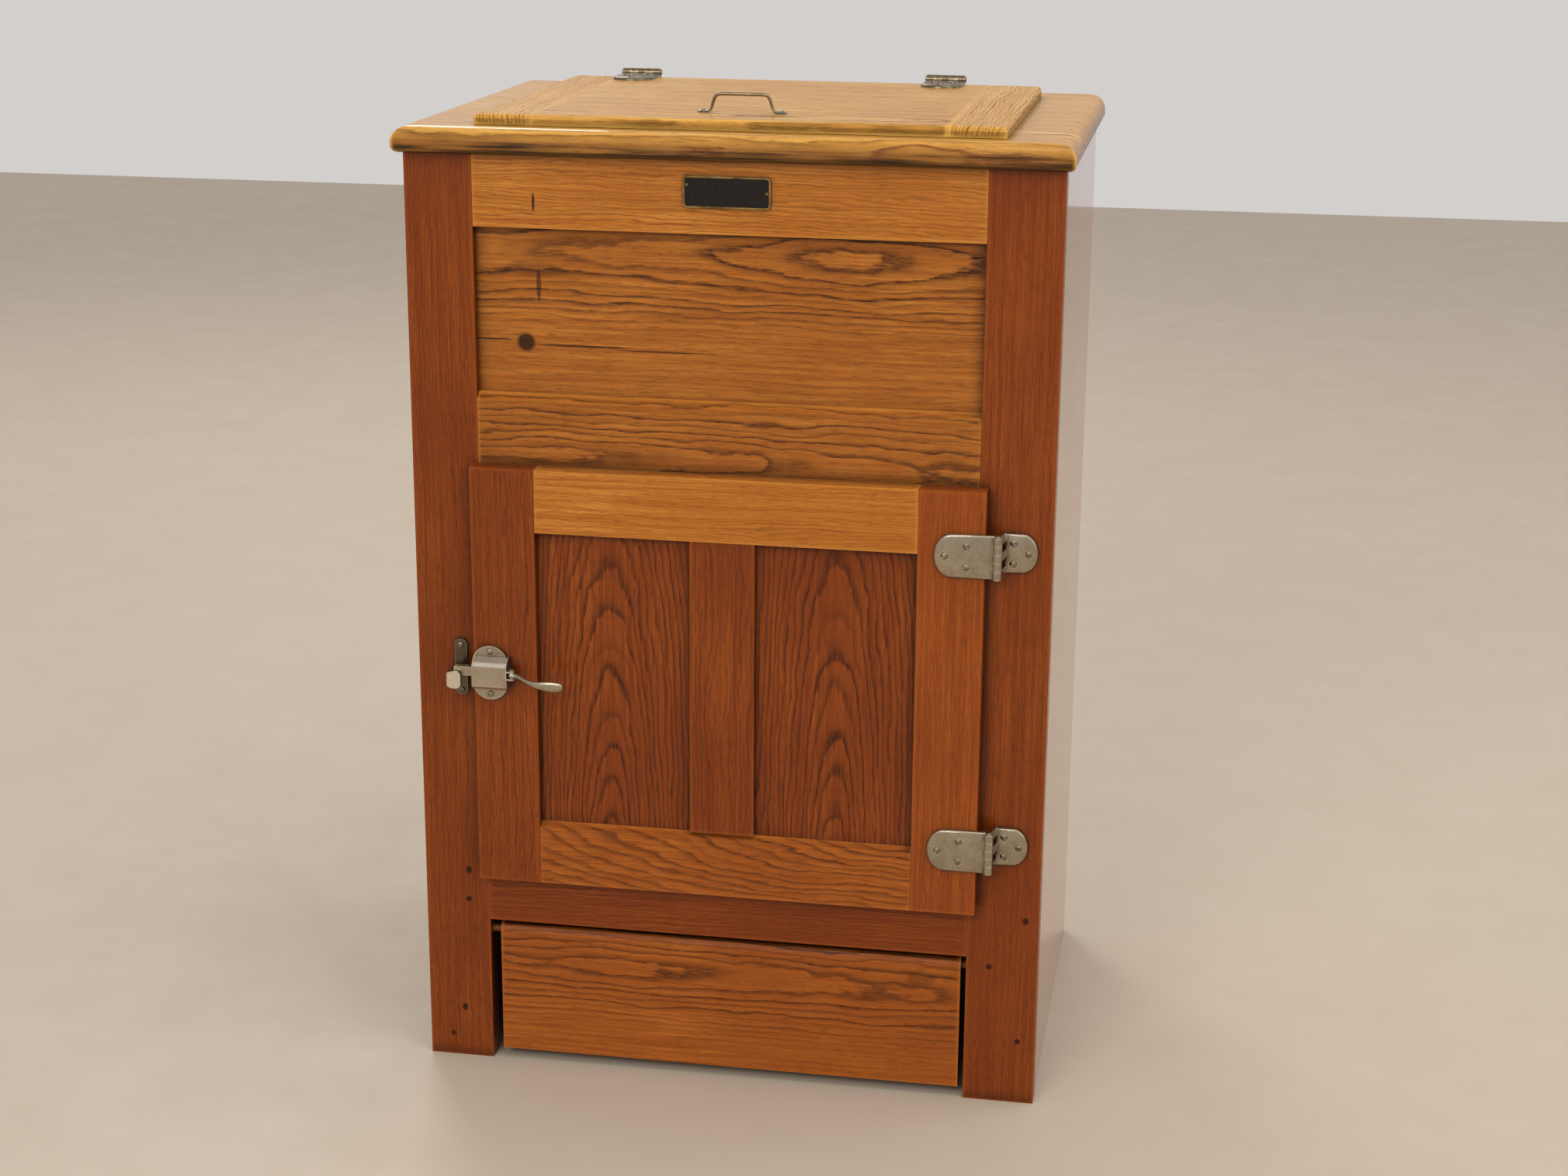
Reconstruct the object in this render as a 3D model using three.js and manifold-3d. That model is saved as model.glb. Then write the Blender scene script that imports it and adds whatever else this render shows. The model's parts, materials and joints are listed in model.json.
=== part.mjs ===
// A small oak icebox: a panelled case with an ice chamber under a lid, a food
// chamber behind a door, and a drip pan behind a hinged kick flap.
// Millimetres, +Z up, front facing -Y. Inside the assembly group Y = 0 is the
// front plane of the face frame; the group is shifted so that the part's
// origin is the middle of its footprint.
import * as THREE from "three";
import { mergeVertices } from "three/addons/utils/BufferGeometryUtils.js";
import Module from "manifold-3d";

const wasm = await Module();
wasm.setup();

// ---- driving dimensions ----
const CASE_WIDTH = 610;
const CASE_DEPTH = 426;
const CASE_HEIGHT = 910;
const FIT = 0.3; // gap between pieces that touch
const FACE = 22; // thickness of the face frame
const BOARD = 18; // thickness of the side boards
const BACK = 16; // thickness of the back panel
const PANEL = 8; // thickness, setback and rebate of every panel
const LEFT_STILE = 64.5;
const RIGHT_STILE = 69;
const TOP_RAIL_FOOT = 843;
const MID_RAIL = { low: 606, high: 681, chamfer: 6 };
const LOWER_RAIL = { low: 151, high: 215 };
const FLAP = { left: -230, right: 230.5, low: 11, high: 147, thick: 18, front: 1 };
const TOP = { overhang: 9, front: -12, rear: 436, thick: 24, corner: 20 };
const LID = { left: -243, right: 249, front: 20, rear: 400, thick: 10, end: 53, round: 4 };
const LID_OPENING = { half: 213, front: 60, rear: 373 };
const DOOR = { half: 244, low: 203, high: 619, thick: 20, stile: 62, rise: 61, foot: 63 };
const MULLION = { left: -33, right: 29, setback: 2.5 };
const PLUG = { left: -230, right: 226, low: 221, high: 600, deep: 38 };
const JAMB = { left: -236.5, right: 232, rear: 40 };
const SHEET = 2; // galvanised sheet
const FOOD_REAR = 378;
const ICE_FLOOR = 642;
const DRAIN = { x: -195, y: 352, radius: 10, wall: 1.5 };
const AIR_SLOT = { x: [-70, 70], y: [290, 330] }; // cold air falls through it
const SHELF = { z: 400, ledge: 6, rear: 328, wire: 2.5 };
const SEAM = CASE_DEPTH / 2 - 8; // where the two boards of each side meet
const ROUND = 24; // sides of every shaft and bore, so that the facets clear as they turn
const RUNNING = 0.08; // radial clearance of a bore over its shaft
const HINGE = {
  barrel: 4.3,
  pin: 2,
  length: 43,
  plate: 3.7,
  moving: 41.5, // width of the leaf that swings
  fixed: 37.5, // width of the leaf that stays
  screw: { radius: 3.4, rise: 0.9 },
};
const KNUCKLES = 5;
const DOOR_PIN = { x: 256, y: -24 };
const DOOR_HINGES = { upper: 558.5, lower: 268.5 };
const LID_PIN = { y: 410, z: 948 };
const LID_HINGES = { left: -173, right: 149 };
const PULL = { left: -37.5, right: 32.5, y: 80, wire: 1.6, high: 963 };
const LATCH = { x: -204.1, y: -31.2, z: 419, hub: 3.5, slab: 2.6, ear: 1.6, pin: 1.4 };
const LATCH_BOX = { x: [-242.7, -208.5], z: [403.5, 434.6], front: -34, wall: 1.6, roof: 6 };
const LATCH_PLATE = { x: -227.5, z: 417.6, wide: 17.3, tall: 27, thick: 3, screw: 21.5 };
const PADDLE = { reach: 16.8, thick: 4.3 };
const ARM_TIP = { x: -7.5, y: 6, radius: 1.5 }; // end of the lever's inner arm, from the pin
const BOLT = { x: [-262.2, -207.2], y: [-27.4, -21.4], z: [414.8, 423.6], slack: 0.4 };
const SPRING = 0.8; // thickness of the latch's spring strip
const STRIKE = { x: [-268.4, -256], z: [386.5, 443.5], front: -32.4 };
const NAMEPLATE = { x: [-41.5, 39.5], z: [867, 896], border: 1.6 };
const FLAP_DOWEL = { radius: 4, reach: 8 };
const PAN = { half: 205, front: 62, rear: 385, low: 1, high: 66, rim: 4, wall: 1.5 };

const half = CASE_WIDTH / 2;
const stileLeft = -half + LEFT_STILE;
const stileRight = half - RIGHT_STILE;
const lidFoot = CASE_HEIGHT + TOP.thick;
const lidTop = lidFoot + FIT + LID.thick;
const sideIn = half - BOARD - FIT;
const backIn = CASE_DEPTH - BACK - FIT;
const doorFront = -DOOR.thick;
const doorBack = -0.5;
const floorTop = LOWER_RAIL.low + BOARD;
const knuckle = HINGE.length / KNUCKLES;
const flapPivot = { y: FLAP.front + FLAP.thick / 2, z: FLAP.high - FLAP.thick / 2 };

// ---- materials ----
const finish = (color, roughness, metalness = 0) => ({ color, roughness, metalness });
const OAK = finish(0x9a5220, 0.35);
const GOLDEN_OAK = finish(0xb56f2c, 0.35);
const PINE = finish(0xc49a63, 0.7);
const BRONZE = finish(0x6b5c42, 0.4, 0.9);
const NICKEL = finish(0xa79c88, 0.3, 1);
const ZINC = finish(0xb4b8ba, 0.45, 0.8);
const FELT = finish(0x4a4237, 0.95);
const CORK = finish(0x8a6f4a, 0.95);
const ENAMEL = finish(0x15130f, 0.3);

// ---- solids ----
// A geometry as a manifold solid.
function solid(geometry) {
  const bare = geometry.index ? geometry.toNonIndexed() : geometry.clone();
  bare.deleteAttribute("normal");
  bare.deleteAttribute("uv");
  const merged = mergeVertices(bare, 1e-4);
  return new wasm.Manifold(
    new wasm.Mesh({
      numProp: 3,
      vertProperties: merged.attributes.position.array,
      triVerts: new Uint32Array(merged.index.array),
    }),
  );
}

// A manifold solid back as a three.js geometry.
function geometryOf(made) {
  const mesh = made.getMesh();
  const geometry = new THREE.BufferGeometry();
  geometry.setAttribute("position", new THREE.BufferAttribute(mesh.vertProperties, 3));
  geometry.setIndex(new THREE.BufferAttribute(mesh.triVerts, 1));
  geometry.computeVertexNormals();
  return geometry;
}

const join = (first, ...others) => others.reduce((sum, other) => sum.add(other), first);
const cut = (first, ...others) => others.reduce((rest, other) => rest.subtract(other), first);

function box([x0, x1], [y0, y1], [z0, z1]) {
  const geometry = new THREE.BoxGeometry(x1 - x0, y1 - y0, z1 - z0);
  return solid(geometry.translate((x0 + x1) / 2, (y0 + y1) / 2, (z0 + z1) / 2));
}

function extruded(shape, depth, segments) {
  const settings = { depth, bevelEnabled: false, curveSegments: segments };
  return new THREE.ExtrudeGeometry(shape, settings);
}

const outline = (points) => new THREE.Shape(points.map(([u, v]) => new THREE.Vector2(u, v)));

// A shape drawn in X and Y, extruded up from z0 to z1.
function inPlan(shape, [z0, z1], segments = 4) {
  return solid(extruded(shape, z1 - z0, segments).translate(0, 0, z0));
}

// A shape drawn in Y and Z, extruded along X from x0 to x1.
function alongX(shape, [x0, x1], segments = 4) {
  const geometry = extruded(shape, x1 - x0, segments);
  geometry.rotateY(Math.PI / 2).rotateX(Math.PI / 2);
  return solid(geometry.translate(x0, 0, 0));
}

// A shape drawn in X and Z, extruded backwards along Y from y0 to y1.
function alongY(shape, [y0, y1], segments = 4) {
  return solid(extruded(shape, y1 - y0, segments).rotateX(Math.PI / 2).translate(0, y1, 0));
}

function rod(radius, [from, to], axis, [a, b], segments = 16) {
  const geometry = new THREE.CylinderGeometry(radius, radius, to - from, segments);
  const middle = (from + to) / 2;
  if (axis === "x") geometry.rotateZ(-Math.PI / 2).translate(middle, a, b);
  if (axis === "y") geometry.translate(a, middle, b);
  if (axis === "z") geometry.rotateX(Math.PI / 2).translate(a, b, middle);
  return solid(geometry);
}

// A wire of the given radius along a path of corners softened into a curve.
function wire(radius, curve, steps, sides) {
  const section = new THREE.Shape();
  section.absarc(0, 0, radius, 0, 2 * Math.PI);
  const settings = { extrudePath: curve, steps, bevelEnabled: false, curveSegments: sides };
  return solid(new THREE.ExtrudeGeometry(section, settings));
}

// A rectangle with rounded corners, drawn counter-clockwise.
function rounded([u0, u1], [v0, v1], r) {
  const shape = new THREE.Shape();
  shape.moveTo(u0 + r, v0);
  shape.lineTo(u1 - r, v0);
  shape.absarc(u1 - r, v0 + r, r, -Math.PI / 2, 0);
  shape.lineTo(u1, v1 - r);
  shape.absarc(u1 - r, v1 - r, r, 0, Math.PI / 2);
  shape.lineTo(u0 + r, v1);
  shape.absarc(u0 + r, v1 - r, r, Math.PI / 2, Math.PI);
  shape.lineTo(u0, v0 + r);
  shape.absarc(u0 + r, v0 + r, r, Math.PI, 1.5 * Math.PI);
  return shape;
}

const assembly = new THREE.Group();

function place(name, material, made) {
  const mesh = new THREE.Mesh(geometryOf(made), new THREE.MeshStandardMaterial(material));
  mesh.name = name;
  assembly.add(mesh);
}

// ---- the face frame ----
// The seat behind the frame that the upper panel lies in.
const panelSeat = {
  x: [stileLeft - PANEL, stileRight + PANEL],
  z: [MID_RAIL.high + MID_RAIL.chamfer - PANEL, TOP_RAIL_FOOT + PANEL],
};
const grown = ([a, b], by = FIT) => [a - by, b + by];

function seatCut() {
  return box(grown(panelSeat.x), [PANEL, 2 * PANEL + FIT], grown(panelSeat.z));
}

function flapDowel(radius, reach) {
  const ends = [stileLeft - reach, stileRight + reach];
  return rod(radius, ends, "x", [flapPivot.y, flapPivot.z], ROUND);
}

const dowelHole = () => flapDowel(FLAP_DOWEL.radius + RUNNING, FLAP_DOWEL.reach + FIT);

function faceFrame() {
  const stileHeight = [0, CASE_HEIGHT - FIT];
  const left = box([-half, stileLeft], [0, FACE], stileHeight);
  const right = box([stileRight, half], [0, FACE], stileHeight);
  place("left_stile", OAK, cut(left, seatCut(), dowelHole()));
  place("right_stile", OAK, cut(right, seatCut(), dowelHole()));

  const between = [stileLeft + FIT, stileRight - FIT];
  const topRail = box(between, [0, FACE], [TOP_RAIL_FOOT, CASE_HEIGHT - FIT]);
  place("top_rail", GOLDEN_OAK, cut(topRail, seatCut()));
  const midProfile = outline([
    [0, MID_RAIL.low],
    [FACE, MID_RAIL.low],
    [FACE, MID_RAIL.high + MID_RAIL.chamfer],
    [PANEL, MID_RAIL.high + MID_RAIL.chamfer],
    [0, MID_RAIL.high],
  ]);
  place("mid_rail", GOLDEN_OAK, cut(alongX(midProfile, between), seatCut()));
  place("lower_rail", OAK, box(between, [0, FACE], [LOWER_RAIL.low, LOWER_RAIL.high]));
  const panel = box(panelSeat.x, [PANEL + FIT, 2 * PANEL], panelSeat.z);
  place("upper_panel", GOLDEN_OAK, panel);
}

// ---- the case behind the face frame ----
function sideBoards() {
  const height = [0, CASE_HEIGHT - FIT];
  const depths = {
    front: [FACE + FIT, SEAM],
    rear: [SEAM + 2 * FIT, CASE_DEPTH],
  };
  for (const [where, depth] of Object.entries(depths)) {
    place(`left_side_${where}_board`, OAK, box([-half, -half + BOARD], depth, height));
    place(`right_side_${where}_board`, OAK, box([half - BOARD, half], depth, height));
  }
}

function drainHole(z) {
  return rod(DRAIN.radius + DRAIN.wall + FIT, z, "z", [DRAIN.x, DRAIN.y]);
}

function carcase() {
  const across = [-sideIn, sideIn];
  const back = box(across, [backIn + FIT, CASE_DEPTH], [20, CASE_HEIGHT - FIT]);
  place("back_panel", PINE, back);
  const bottom = box(across, [FACE + FIT, backIn], [LOWER_RAIL.low, floorTop]);
  place("bottom_board", PINE, cut(bottom, drainHole([100, 200])));

  const jambHigh = ICE_FLOOR - 12;
  const jamb = box(across, [FACE + FIT, JAMB.rear], [floorTop + FIT, jambHigh]);
  const doorway = box([JAMB.left, JAMB.right], [0, 100], [LOWER_RAIL.high, MID_RAIL.low]);
  place("door_jamb", PINE, cut(jamb, doorway));

  const lower = box(across, [JAMB.rear + FIT, backIn], [floorTop + FIT, jambHigh + FIT]);
  const upper = box(across, [FACE + FIT, backIn], [jambHigh + FIT, CASE_HEIGHT - 2 * FIT]);
  const cavities = [
    box(grown(foodOuter.x), [0, foodOuter.y + FIT], grown(foodOuter.z)),
    box(grown(iceOuter.x), grown(iceOuter.y), [iceOuter.z[0] - FIT, CASE_HEIGHT + 10]),
    box(AIR_SLOT.x, AIR_SLOT.y, [floorTop + 100, ICE_FLOOR + 50]),
    drainHole([100, 700]),
  ];
  place("case_insulation", CORK, cut(join(lower, upper), ...cavities));
}

// ---- the two chambers ----
const foodOuter = {
  x: [JAMB.left - SHEET, JAMB.right + SHEET],
  y: FOOD_REAR + SHEET,
  z: [LOWER_RAIL.high - SHEET, MID_RAIL.low + SHEET],
};
const iceOuter = {
  x: [-LID_OPENING.half - SHEET, LID_OPENING.half + SHEET],
  y: [LID_OPENING.front - SHEET, LID_OPENING.rear + SHEET],
  z: [ICE_FLOOR - SHEET, CASE_HEIGHT - 2 * FIT],
};

function chambers() {
  const foodInner = box(grown(foodOuter.x, -SHEET), [0, FOOD_REAR], grown(foodOuter.z, -SHEET));
  const food = box(foodOuter.x, [JAMB.rear + FIT, foodOuter.y], foodOuter.z);
  const slot = box(AIR_SLOT.x, AIR_SLOT.y, [MID_RAIL.low - 10, ICE_FLOOR + 10]);
  const [wallLeft, wallRight] = grown(foodOuter.x, -SHEET);
  const ledgeZ = [SHELF.z - SHELF.ledge, SHELF.z];
  const ledges = [
    box([wallLeft - 1, wallLeft + SHELF.ledge], [60, 340], ledgeZ),
    box([wallRight - SHELF.ledge, wallRight + 1], [60, 340], ledgeZ),
  ];
  const shell = cut(food, foodInner, slot, drainHole([100, 700]));
  place("food_chamber_liner", ZINC, join(shell, ...ledges));

  const iceInner = box(grown(iceOuter.x, -SHEET), grown(iceOuter.y, -SHEET), [ICE_FLOOR, 1000]);
  const ice = box(iceOuter.x, iceOuter.y, iceOuter.z);
  place("ice_chamber_liner", ZINC, cut(ice, iceInner, slot, drainHole([600, 700])));
}

// The slatted rack that keeps the ice off the chamber floor.
function iceRack() {
  const reach = LID_OPENING.half - 8;
  const depth = [LID_OPENING.front + 12, AIR_SLOT.y[0] - 10];
  const runners = [-150, 0, 150].map((x) =>
    box([x - 9, x + 9], depth, [ICE_FLOOR + FIT, ICE_FLOOR + 20]),
  );
  const slats = [0, 1, 2, 3, 4].map((i) => {
    const y = depth[0] + (i * (depth[1] - depth[0] - 24)) / 4;
    return box([-reach, reach], [y, y + 24], [ICE_FLOOR + 18, ICE_FLOOR + 28]);
  });
  place("ice_rack", PINE, join(...runners, ...slats));
}

// A wire shelf resting on the ledges of the food chamber.
function foodShelf() {
  const [left, right] = grown([JAMB.left, JAMB.right], -2);
  const [front, rear] = [62, SHELF.rear];
  const z = SHELF.z + FIT + SHELF.wire;
  const ends = [front, rear].map((y) => rod(SHELF.wire, [left, right], "x", [y, z], 8));
  const count = 9;
  const ribs = Array.from({ length: count }, (_, i) => {
    const x = left + 3 + (i * (right - left - 6)) / (count - 1);
    return rod(2, [front, rear], "y", [x, z], 8);
  });
  place("food_shelf", ZINC, join(...ends, ...ribs));
}

function drain() {
  const { x, y, radius, wall } = DRAIN;
  const end = 118;
  const flange = rod(radius + 6, [ICE_FLOOR + FIT, ICE_FLOOR + 2], "z", [x, y]);
  const tube = rod(radius + wall, [end, ICE_FLOOR + 1], "z", [x, y]);
  const bore = rod(radius, [end - 1, ICE_FLOOR + 10], "z", [x, y]);
  place("drain_pipe", ZINC, cut(join(tube, flange), bore));
  // The trap is a cup round the pipe's foot: water stands in it and keeps warm air out.
  const cup = rod(radius + 8, [end - 12, end + 14], "z", [x, y]);
  const inside = rod(radius + 6.5, [end - 10.5, end + 20], "z", [x, y]);
  const strap = box([x - radius - 7, x + radius + 7], [y - 2, y + 2], [end + 10, end + 12]);
  const pipeHole = rod(radius + wall + FIT, [end, end + 20], "z", [x, y]);
  place("drain_trap", ZINC, join(cut(cup, inside), cut(strap, pipeHole)));
}

// ---- the top board and the lid ----
// The moulded edge: a small round below and a long round above.
function edgeProfile(out) {
  const z = CASE_HEIGHT;
  const steps = [0, 18, 36, 54, 72, 90].map((deg) => (deg * Math.PI) / 180);
  const upper = steps.map((a) => [out - 15 + 15 * Math.cos(a), z + 8 + 16 * Math.sin(a)]);
  const lower = steps
    .filter((_, i) => i % 2 === 0)
    .map((a) => [out - 6 + 6 * Math.sin(a), z + 8 - 8 * Math.cos(a)]);
  return [...lower, ...upper.slice(1)];
}

function topBoard() {
  const out = half + TOP.overhang;
  const z = [CASE_HEIGHT, lidFoot];
  const right = edgeProfile(out);
  const left = right.map(([x, height]) => [-x, height]).reverse();
  const across = alongY(outline([...right, ...left]), [TOP.front - 1, TOP.rear]);
  const front = edgeProfile(-TOP.front).map(([y, height]) => [-y, height]);
  const lengthways = outline([[TOP.rear, z[0]], [TOP.rear, z[1]], ...front.reverse()]);
  const along = alongX(lengthways, [-out - 1, out + 1]);
  const plan = inPlan(rounded([-out, out], [TOP.front - 60, TOP.rear], TOP.corner), grown(z, 1));
  const { half: reach, front: near, rear: far } = LID_OPENING;
  const opening = box([-reach, reach], [near, far], grown(z, 5));
  place("top_board", GOLDEN_OAK, cut(across.intersect(along).intersect(plan), opening));
}

// A board with its upper edge rounded where a side is named.
function softBoard([x0, x1], [y0, y1], [z0, z1], sides) {
  const r = LID.round;
  const corner = (u, v, su) => [
    [u, v - r],
    [u - su * r * 0.3, v - r * 0.3],
    [u - su * r, v],
  ];
  const profile = (a, b, first, second) =>
    outline([
      [a, z0],
      [b, z0],
      ...(second ? corner(b, z1, 1) : [[b, z1]]),
      ...(first ? corner(a, z1, -1).reverse() : [[a, z1]]),
    ]);
  const acrossX = alongX(profile(y0, y1, sides.front, sides.rear), [x0, x1]);
  const acrossY = alongY(profile(x0, x1, sides.left, sides.right), [y0 - 1, y1 + 1]);
  return acrossX.intersect(acrossY);
}

function lid() {
  const z = [lidFoot + FIT, lidTop];
  const y = [LID.front, LID.rear];
  const fieldLeft = LID.left + LID.end;
  const fieldRight = LID.right - LID.end;
  const ends = { front: true, rear: true };
  const field = softBoard([fieldLeft + FIT, fieldRight - FIT], y, z, ends);
  place("lid_field", GOLDEN_OAK, field);
  const left = softBoard([LID.left, fieldLeft], y, z, { ...ends, left: true });
  place("lid_left_end", GOLDEN_OAK, left);
  const right = softBoard([fieldRight, LID.right], y, z, { ...ends, right: true });
  place("lid_right_end", GOLDEN_OAK, right);
  const plugDepth = [LID_OPENING.front + 8, LID_OPENING.rear - 8];
  const plugHalf = LID_OPENING.half - 8;
  const plug = box([-plugHalf, plugHalf], plugDepth, [lidFoot - 44, lidFoot]);
  place("lid_liner", PINE, plug);
  place("lid_pull", NICKEL, lidPull());
}

// A bent wire handle with flattened feet.
function lidPull() {
  const { left, right, y, wire: radius, high } = PULL;
  const top = high - radius;
  const low = lidTop + 1.5;
  const points = [
    [left + 5, low],
    [left + 7.5, top - 8],
    [left + 11, top - 2],
    [left + 18, top],
    [left + 26, top],
  ];
  const mirrored = points.map(([x, z]) => [left + right - x, z]).reverse();
  const path = [...points, ...mirrored].map(([x, z]) => new THREE.Vector3(x, y, z));
  const bail = wire(radius, new THREE.CatmullRomCurve3(path), 28, 8);
  const foot = (x) =>
    inPlan(rounded([x - 7.5, x + 7.5], [y - 4, y + 4], 3.9), [lidTop + FIT, lidTop + 2.3]);
  return join(foot(left), foot(right), bail);
}

// ---- hinges ----
// One leaf of a surface hinge, drawn flat: the pin runs along Z at the origin,
// the plate lies towards +X with its back face at y = back, and the web joins
// the plate to the knuckles this leaf owns.
function hingeLeaf({ from, to, back, owns, width, screws }) {
  const reach = width / 2;
  const gap = FIT / 2;
  const shape = new THREE.Shape();
  shape.moveTo(from, -reach);
  shape.lineTo(to - reach * 0.75, -reach);
  shape.absellipse(to - reach * 0.75, 0, reach * 0.75, reach, -Math.PI / 2, Math.PI / 2);
  shape.lineTo(from, reach);
  let leaf = alongY(shape, [back - HINGE.plate, back], 10);
  for (const i of owns) {
    const z0 = -HINGE.length / 2 + i * knuckle + (i > 0 ? gap : 0);
    const z1 = -HINGE.length / 2 + (i + 1) * knuckle - (i < KNUCKLES - 1 ? gap : 0);
    const plateMiddle = back - HINGE.plate / 2;
    const web = outline([
      [0, -1.6],
      [0, 1.6],
      [from + 1, plateMiddle + 1.6],
      [from + 1, plateMiddle - 1.6],
    ]);
    leaf = join(leaf, rod(HINGE.barrel, [z0, z1], "z", [0, 0], 12), inPlan(web, [z0, z1]));
  }
  const front = back - HINGE.plate;
  for (const [x, z] of screws) {
    const { radius, rise } = HINGE.screw;
    leaf = leaf.add(rod(radius, [front - rise, front + 1], "y", [x, z], 8));
  }
  // The gaps that the other leaf's knuckles turn in.
  const others = [0, 1, 2, 3, 4].filter((i) => !owns.includes(i));
  for (const i of others) {
    const z0 = -HINGE.length / 2 + i * knuckle - gap;
    leaf = leaf.subtract(rod(HINGE.barrel + 0.4, [z0, z0 + knuckle + FIT], "z", [0, 0], 16));
  }
  const bore = rod(HINGE.pin + RUNNING, grown([0, 0], HINGE.length), "z", [0, 0], ROUND);
  return leaf.subtract(bore);
}

function hingePin() {
  const reach = HINGE.length / 2;
  const head = (z) => rod(HINGE.pin + 1, z, "z", [0, 0], 12);
  return join(
    rod(HINGE.pin, [-reach - 0.5, reach + 0.5], "z", [0, 0], ROUND),
    head([-reach - 1.3, -reach - FIT]),
    head([reach + FIT, reach + 1.3]),
  );
}

// Moves a flat-drawn hinge piece into place.
function moved(made, matrix) {
  return solid(geometryOf(made).applyMatrix4(matrix));
}

const SWINGING_LEAF = {
  owns: [1, 3],
  from: 3,
  to: 59,
  width: HINGE.moving,
  screws: [[49, 0], [29, 10], [29, -10]],
};
const STILL_LEAF = {
  owns: [0, 2, 4],
  from: 4.5,
  to: 35.7,
  width: HINGE.fixed,
  screws: [[13, 10], [13, -10], [27, 0]],
};

function doorHinge(where, z) {
  const at = new THREE.Matrix4().makeTranslation(DOOR_PIN.x, DOOR_PIN.y, z);
  const doorLeaf = hingeLeaf({ ...SWINGING_LEAF, back: doorFront - FIT - DOOR_PIN.y });
  const mirrored = doorLeaf.mirror([1, 0, 0]);
  place(`${where}_hinge_door_leaf`, NICKEL, moved(mirrored, at));
  const frameLeaf = hingeLeaf({ ...STILL_LEAF, back: -FIT - DOOR_PIN.y });
  place(`${where}_hinge_frame_leaf`, NICKEL, moved(frameLeaf, at));
  place(`${where}_hinge_pin`, NICKEL, moved(hingePin(), at));
}

function lidHinge(where, x) {
  // Flat-drawn Z becomes X, flat-drawn +X becomes -Y (towards the lid), and
  // the face of the plate (flat-drawn -Y) looks up.
  const lying = (towards) =>
    new THREE.Matrix4()
      .makeTranslation(x, LID_PIN.y, LID_PIN.z)
      .multiply(
        new THREE.Matrix4().makeBasis(
          new THREE.Vector3(0, towards, 0),
          new THREE.Vector3(0, 0, -1),
          new THREE.Vector3(-towards, 0, 0),
        ),
      );
  const lidLeaf = hingeLeaf({ ...SWINGING_LEAF, back: LID_PIN.z - lidTop - FIT });
  place(`${where}_lid_hinge_lid_leaf`, BRONZE, moved(lidLeaf, lying(-1)));
  const boardLeaf = hingeLeaf({
    ...STILL_LEAF,
    to: TOP.rear - LID_PIN.y - 1,
    screws: [[13, 9], [13, -9], [20, 0]],
    back: LID_PIN.z - lidFoot - FIT,
  });
  place(`${where}_lid_hinge_board_leaf`, BRONZE, moved(boardLeaf, lying(1)));
  place(`${where}_lid_hinge_pin`, BRONZE, moved(hingePin(), lying(1)));
}

// ---- the door ----
function door() {
  const { half: reach, low, high, stile, rise, foot } = DOOR;
  const inner = reach - stile;
  const panelLow = low + foot;
  const panelHigh = high - rise;
  const chamfer = 5;
  const y = [doorFront, doorBack];
  const seat = box(
    grown([-inner - PANEL, inner + PANEL]),
    [doorFront + PANEL, doorBack + 1],
    grown([panelLow - PANEL, panelHigh + PANEL]),
  );
  const upright = (x) => cut(box(x, y, [low, high]), seat);
  place("door_left_stile", OAK, upright([-reach, -inner]));
  place("door_right_stile", OAK, upright([inner, reach]));
  const between = [-inner + FIT, inner - FIT];
  place("door_top_rail", GOLDEN_OAK, cut(box(between, y, [panelHigh, high]), seat));
  const bottomProfile = outline([
    [doorFront, low],
    [doorBack, low],
    [doorBack, panelLow],
    [doorFront + PANEL, panelLow],
    [doorFront, panelLow - chamfer],
  ]);
  place("door_bottom_rail", GOLDEN_OAK, cut(alongX(bottomProfile, between), seat));

  const behind = [doorFront + PANEL + FIT, doorBack - 2];
  const tall = [panelLow - PANEL, panelHigh + PANEL];
  const lap = 6;
  const muntin = box(
    [MULLION.left, MULLION.right],
    [doorFront + MULLION.setback, behind[1]],
    [panelLow + FIT, panelHigh - FIT],
  );
  const laps = box(grown([MULLION.left, MULLION.right], 1), behind, tall);
  const groove = (x) => box(x, [behind[0] - FIT, behind[1] + 1], grown(tall, 1));
  const bars = cut(
    muntin,
    groove([MULLION.left - 5, MULLION.left + lap]),
    groove([MULLION.right - lap, MULLION.right + 5]),
  );
  const tongue = laps.intersect(
    box([MULLION.left + lap, MULLION.right - lap], behind, tall),
  );
  place("door_mullion", OAK, join(bars, tongue));
  const thickness = [behind[0], behind[1]];
  const leftX = [-inner - PANEL, MULLION.left + lap - FIT];
  const rightX = [MULLION.right - lap + FIT, inner + PANEL];
  place("door_left_panel", OAK, box(leftX, thickness, tall));
  place("door_right_panel", OAK, box(rightX, thickness, tall));
}

// The insulated plug on the back of the door.
function doorPlug() {
  const x = [PLUG.left, PLUG.right];
  const z = [PLUG.low, PLUG.high];
  const pan = box(x, [0, PLUG.deep], z);
  const hollow = box(grown(x, -SHEET), [-1, PLUG.deep - SHEET], grown(z, -SHEET));
  place("door_liner", ZINC, cut(pan, hollow));
  const inset = SHEET + FIT;
  const fill = box(grown(x, -inset), [0, PLUG.deep - inset], grown(z, -inset));
  place("door_insulation", CORK, fill);
  const strip = box(grown(x, 3.3), [0, 8], grown(z, 3.3));
  place("door_gasket", FELT, cut(strip, box(grown(x), [-1, 9], grown(z))));
}

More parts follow.
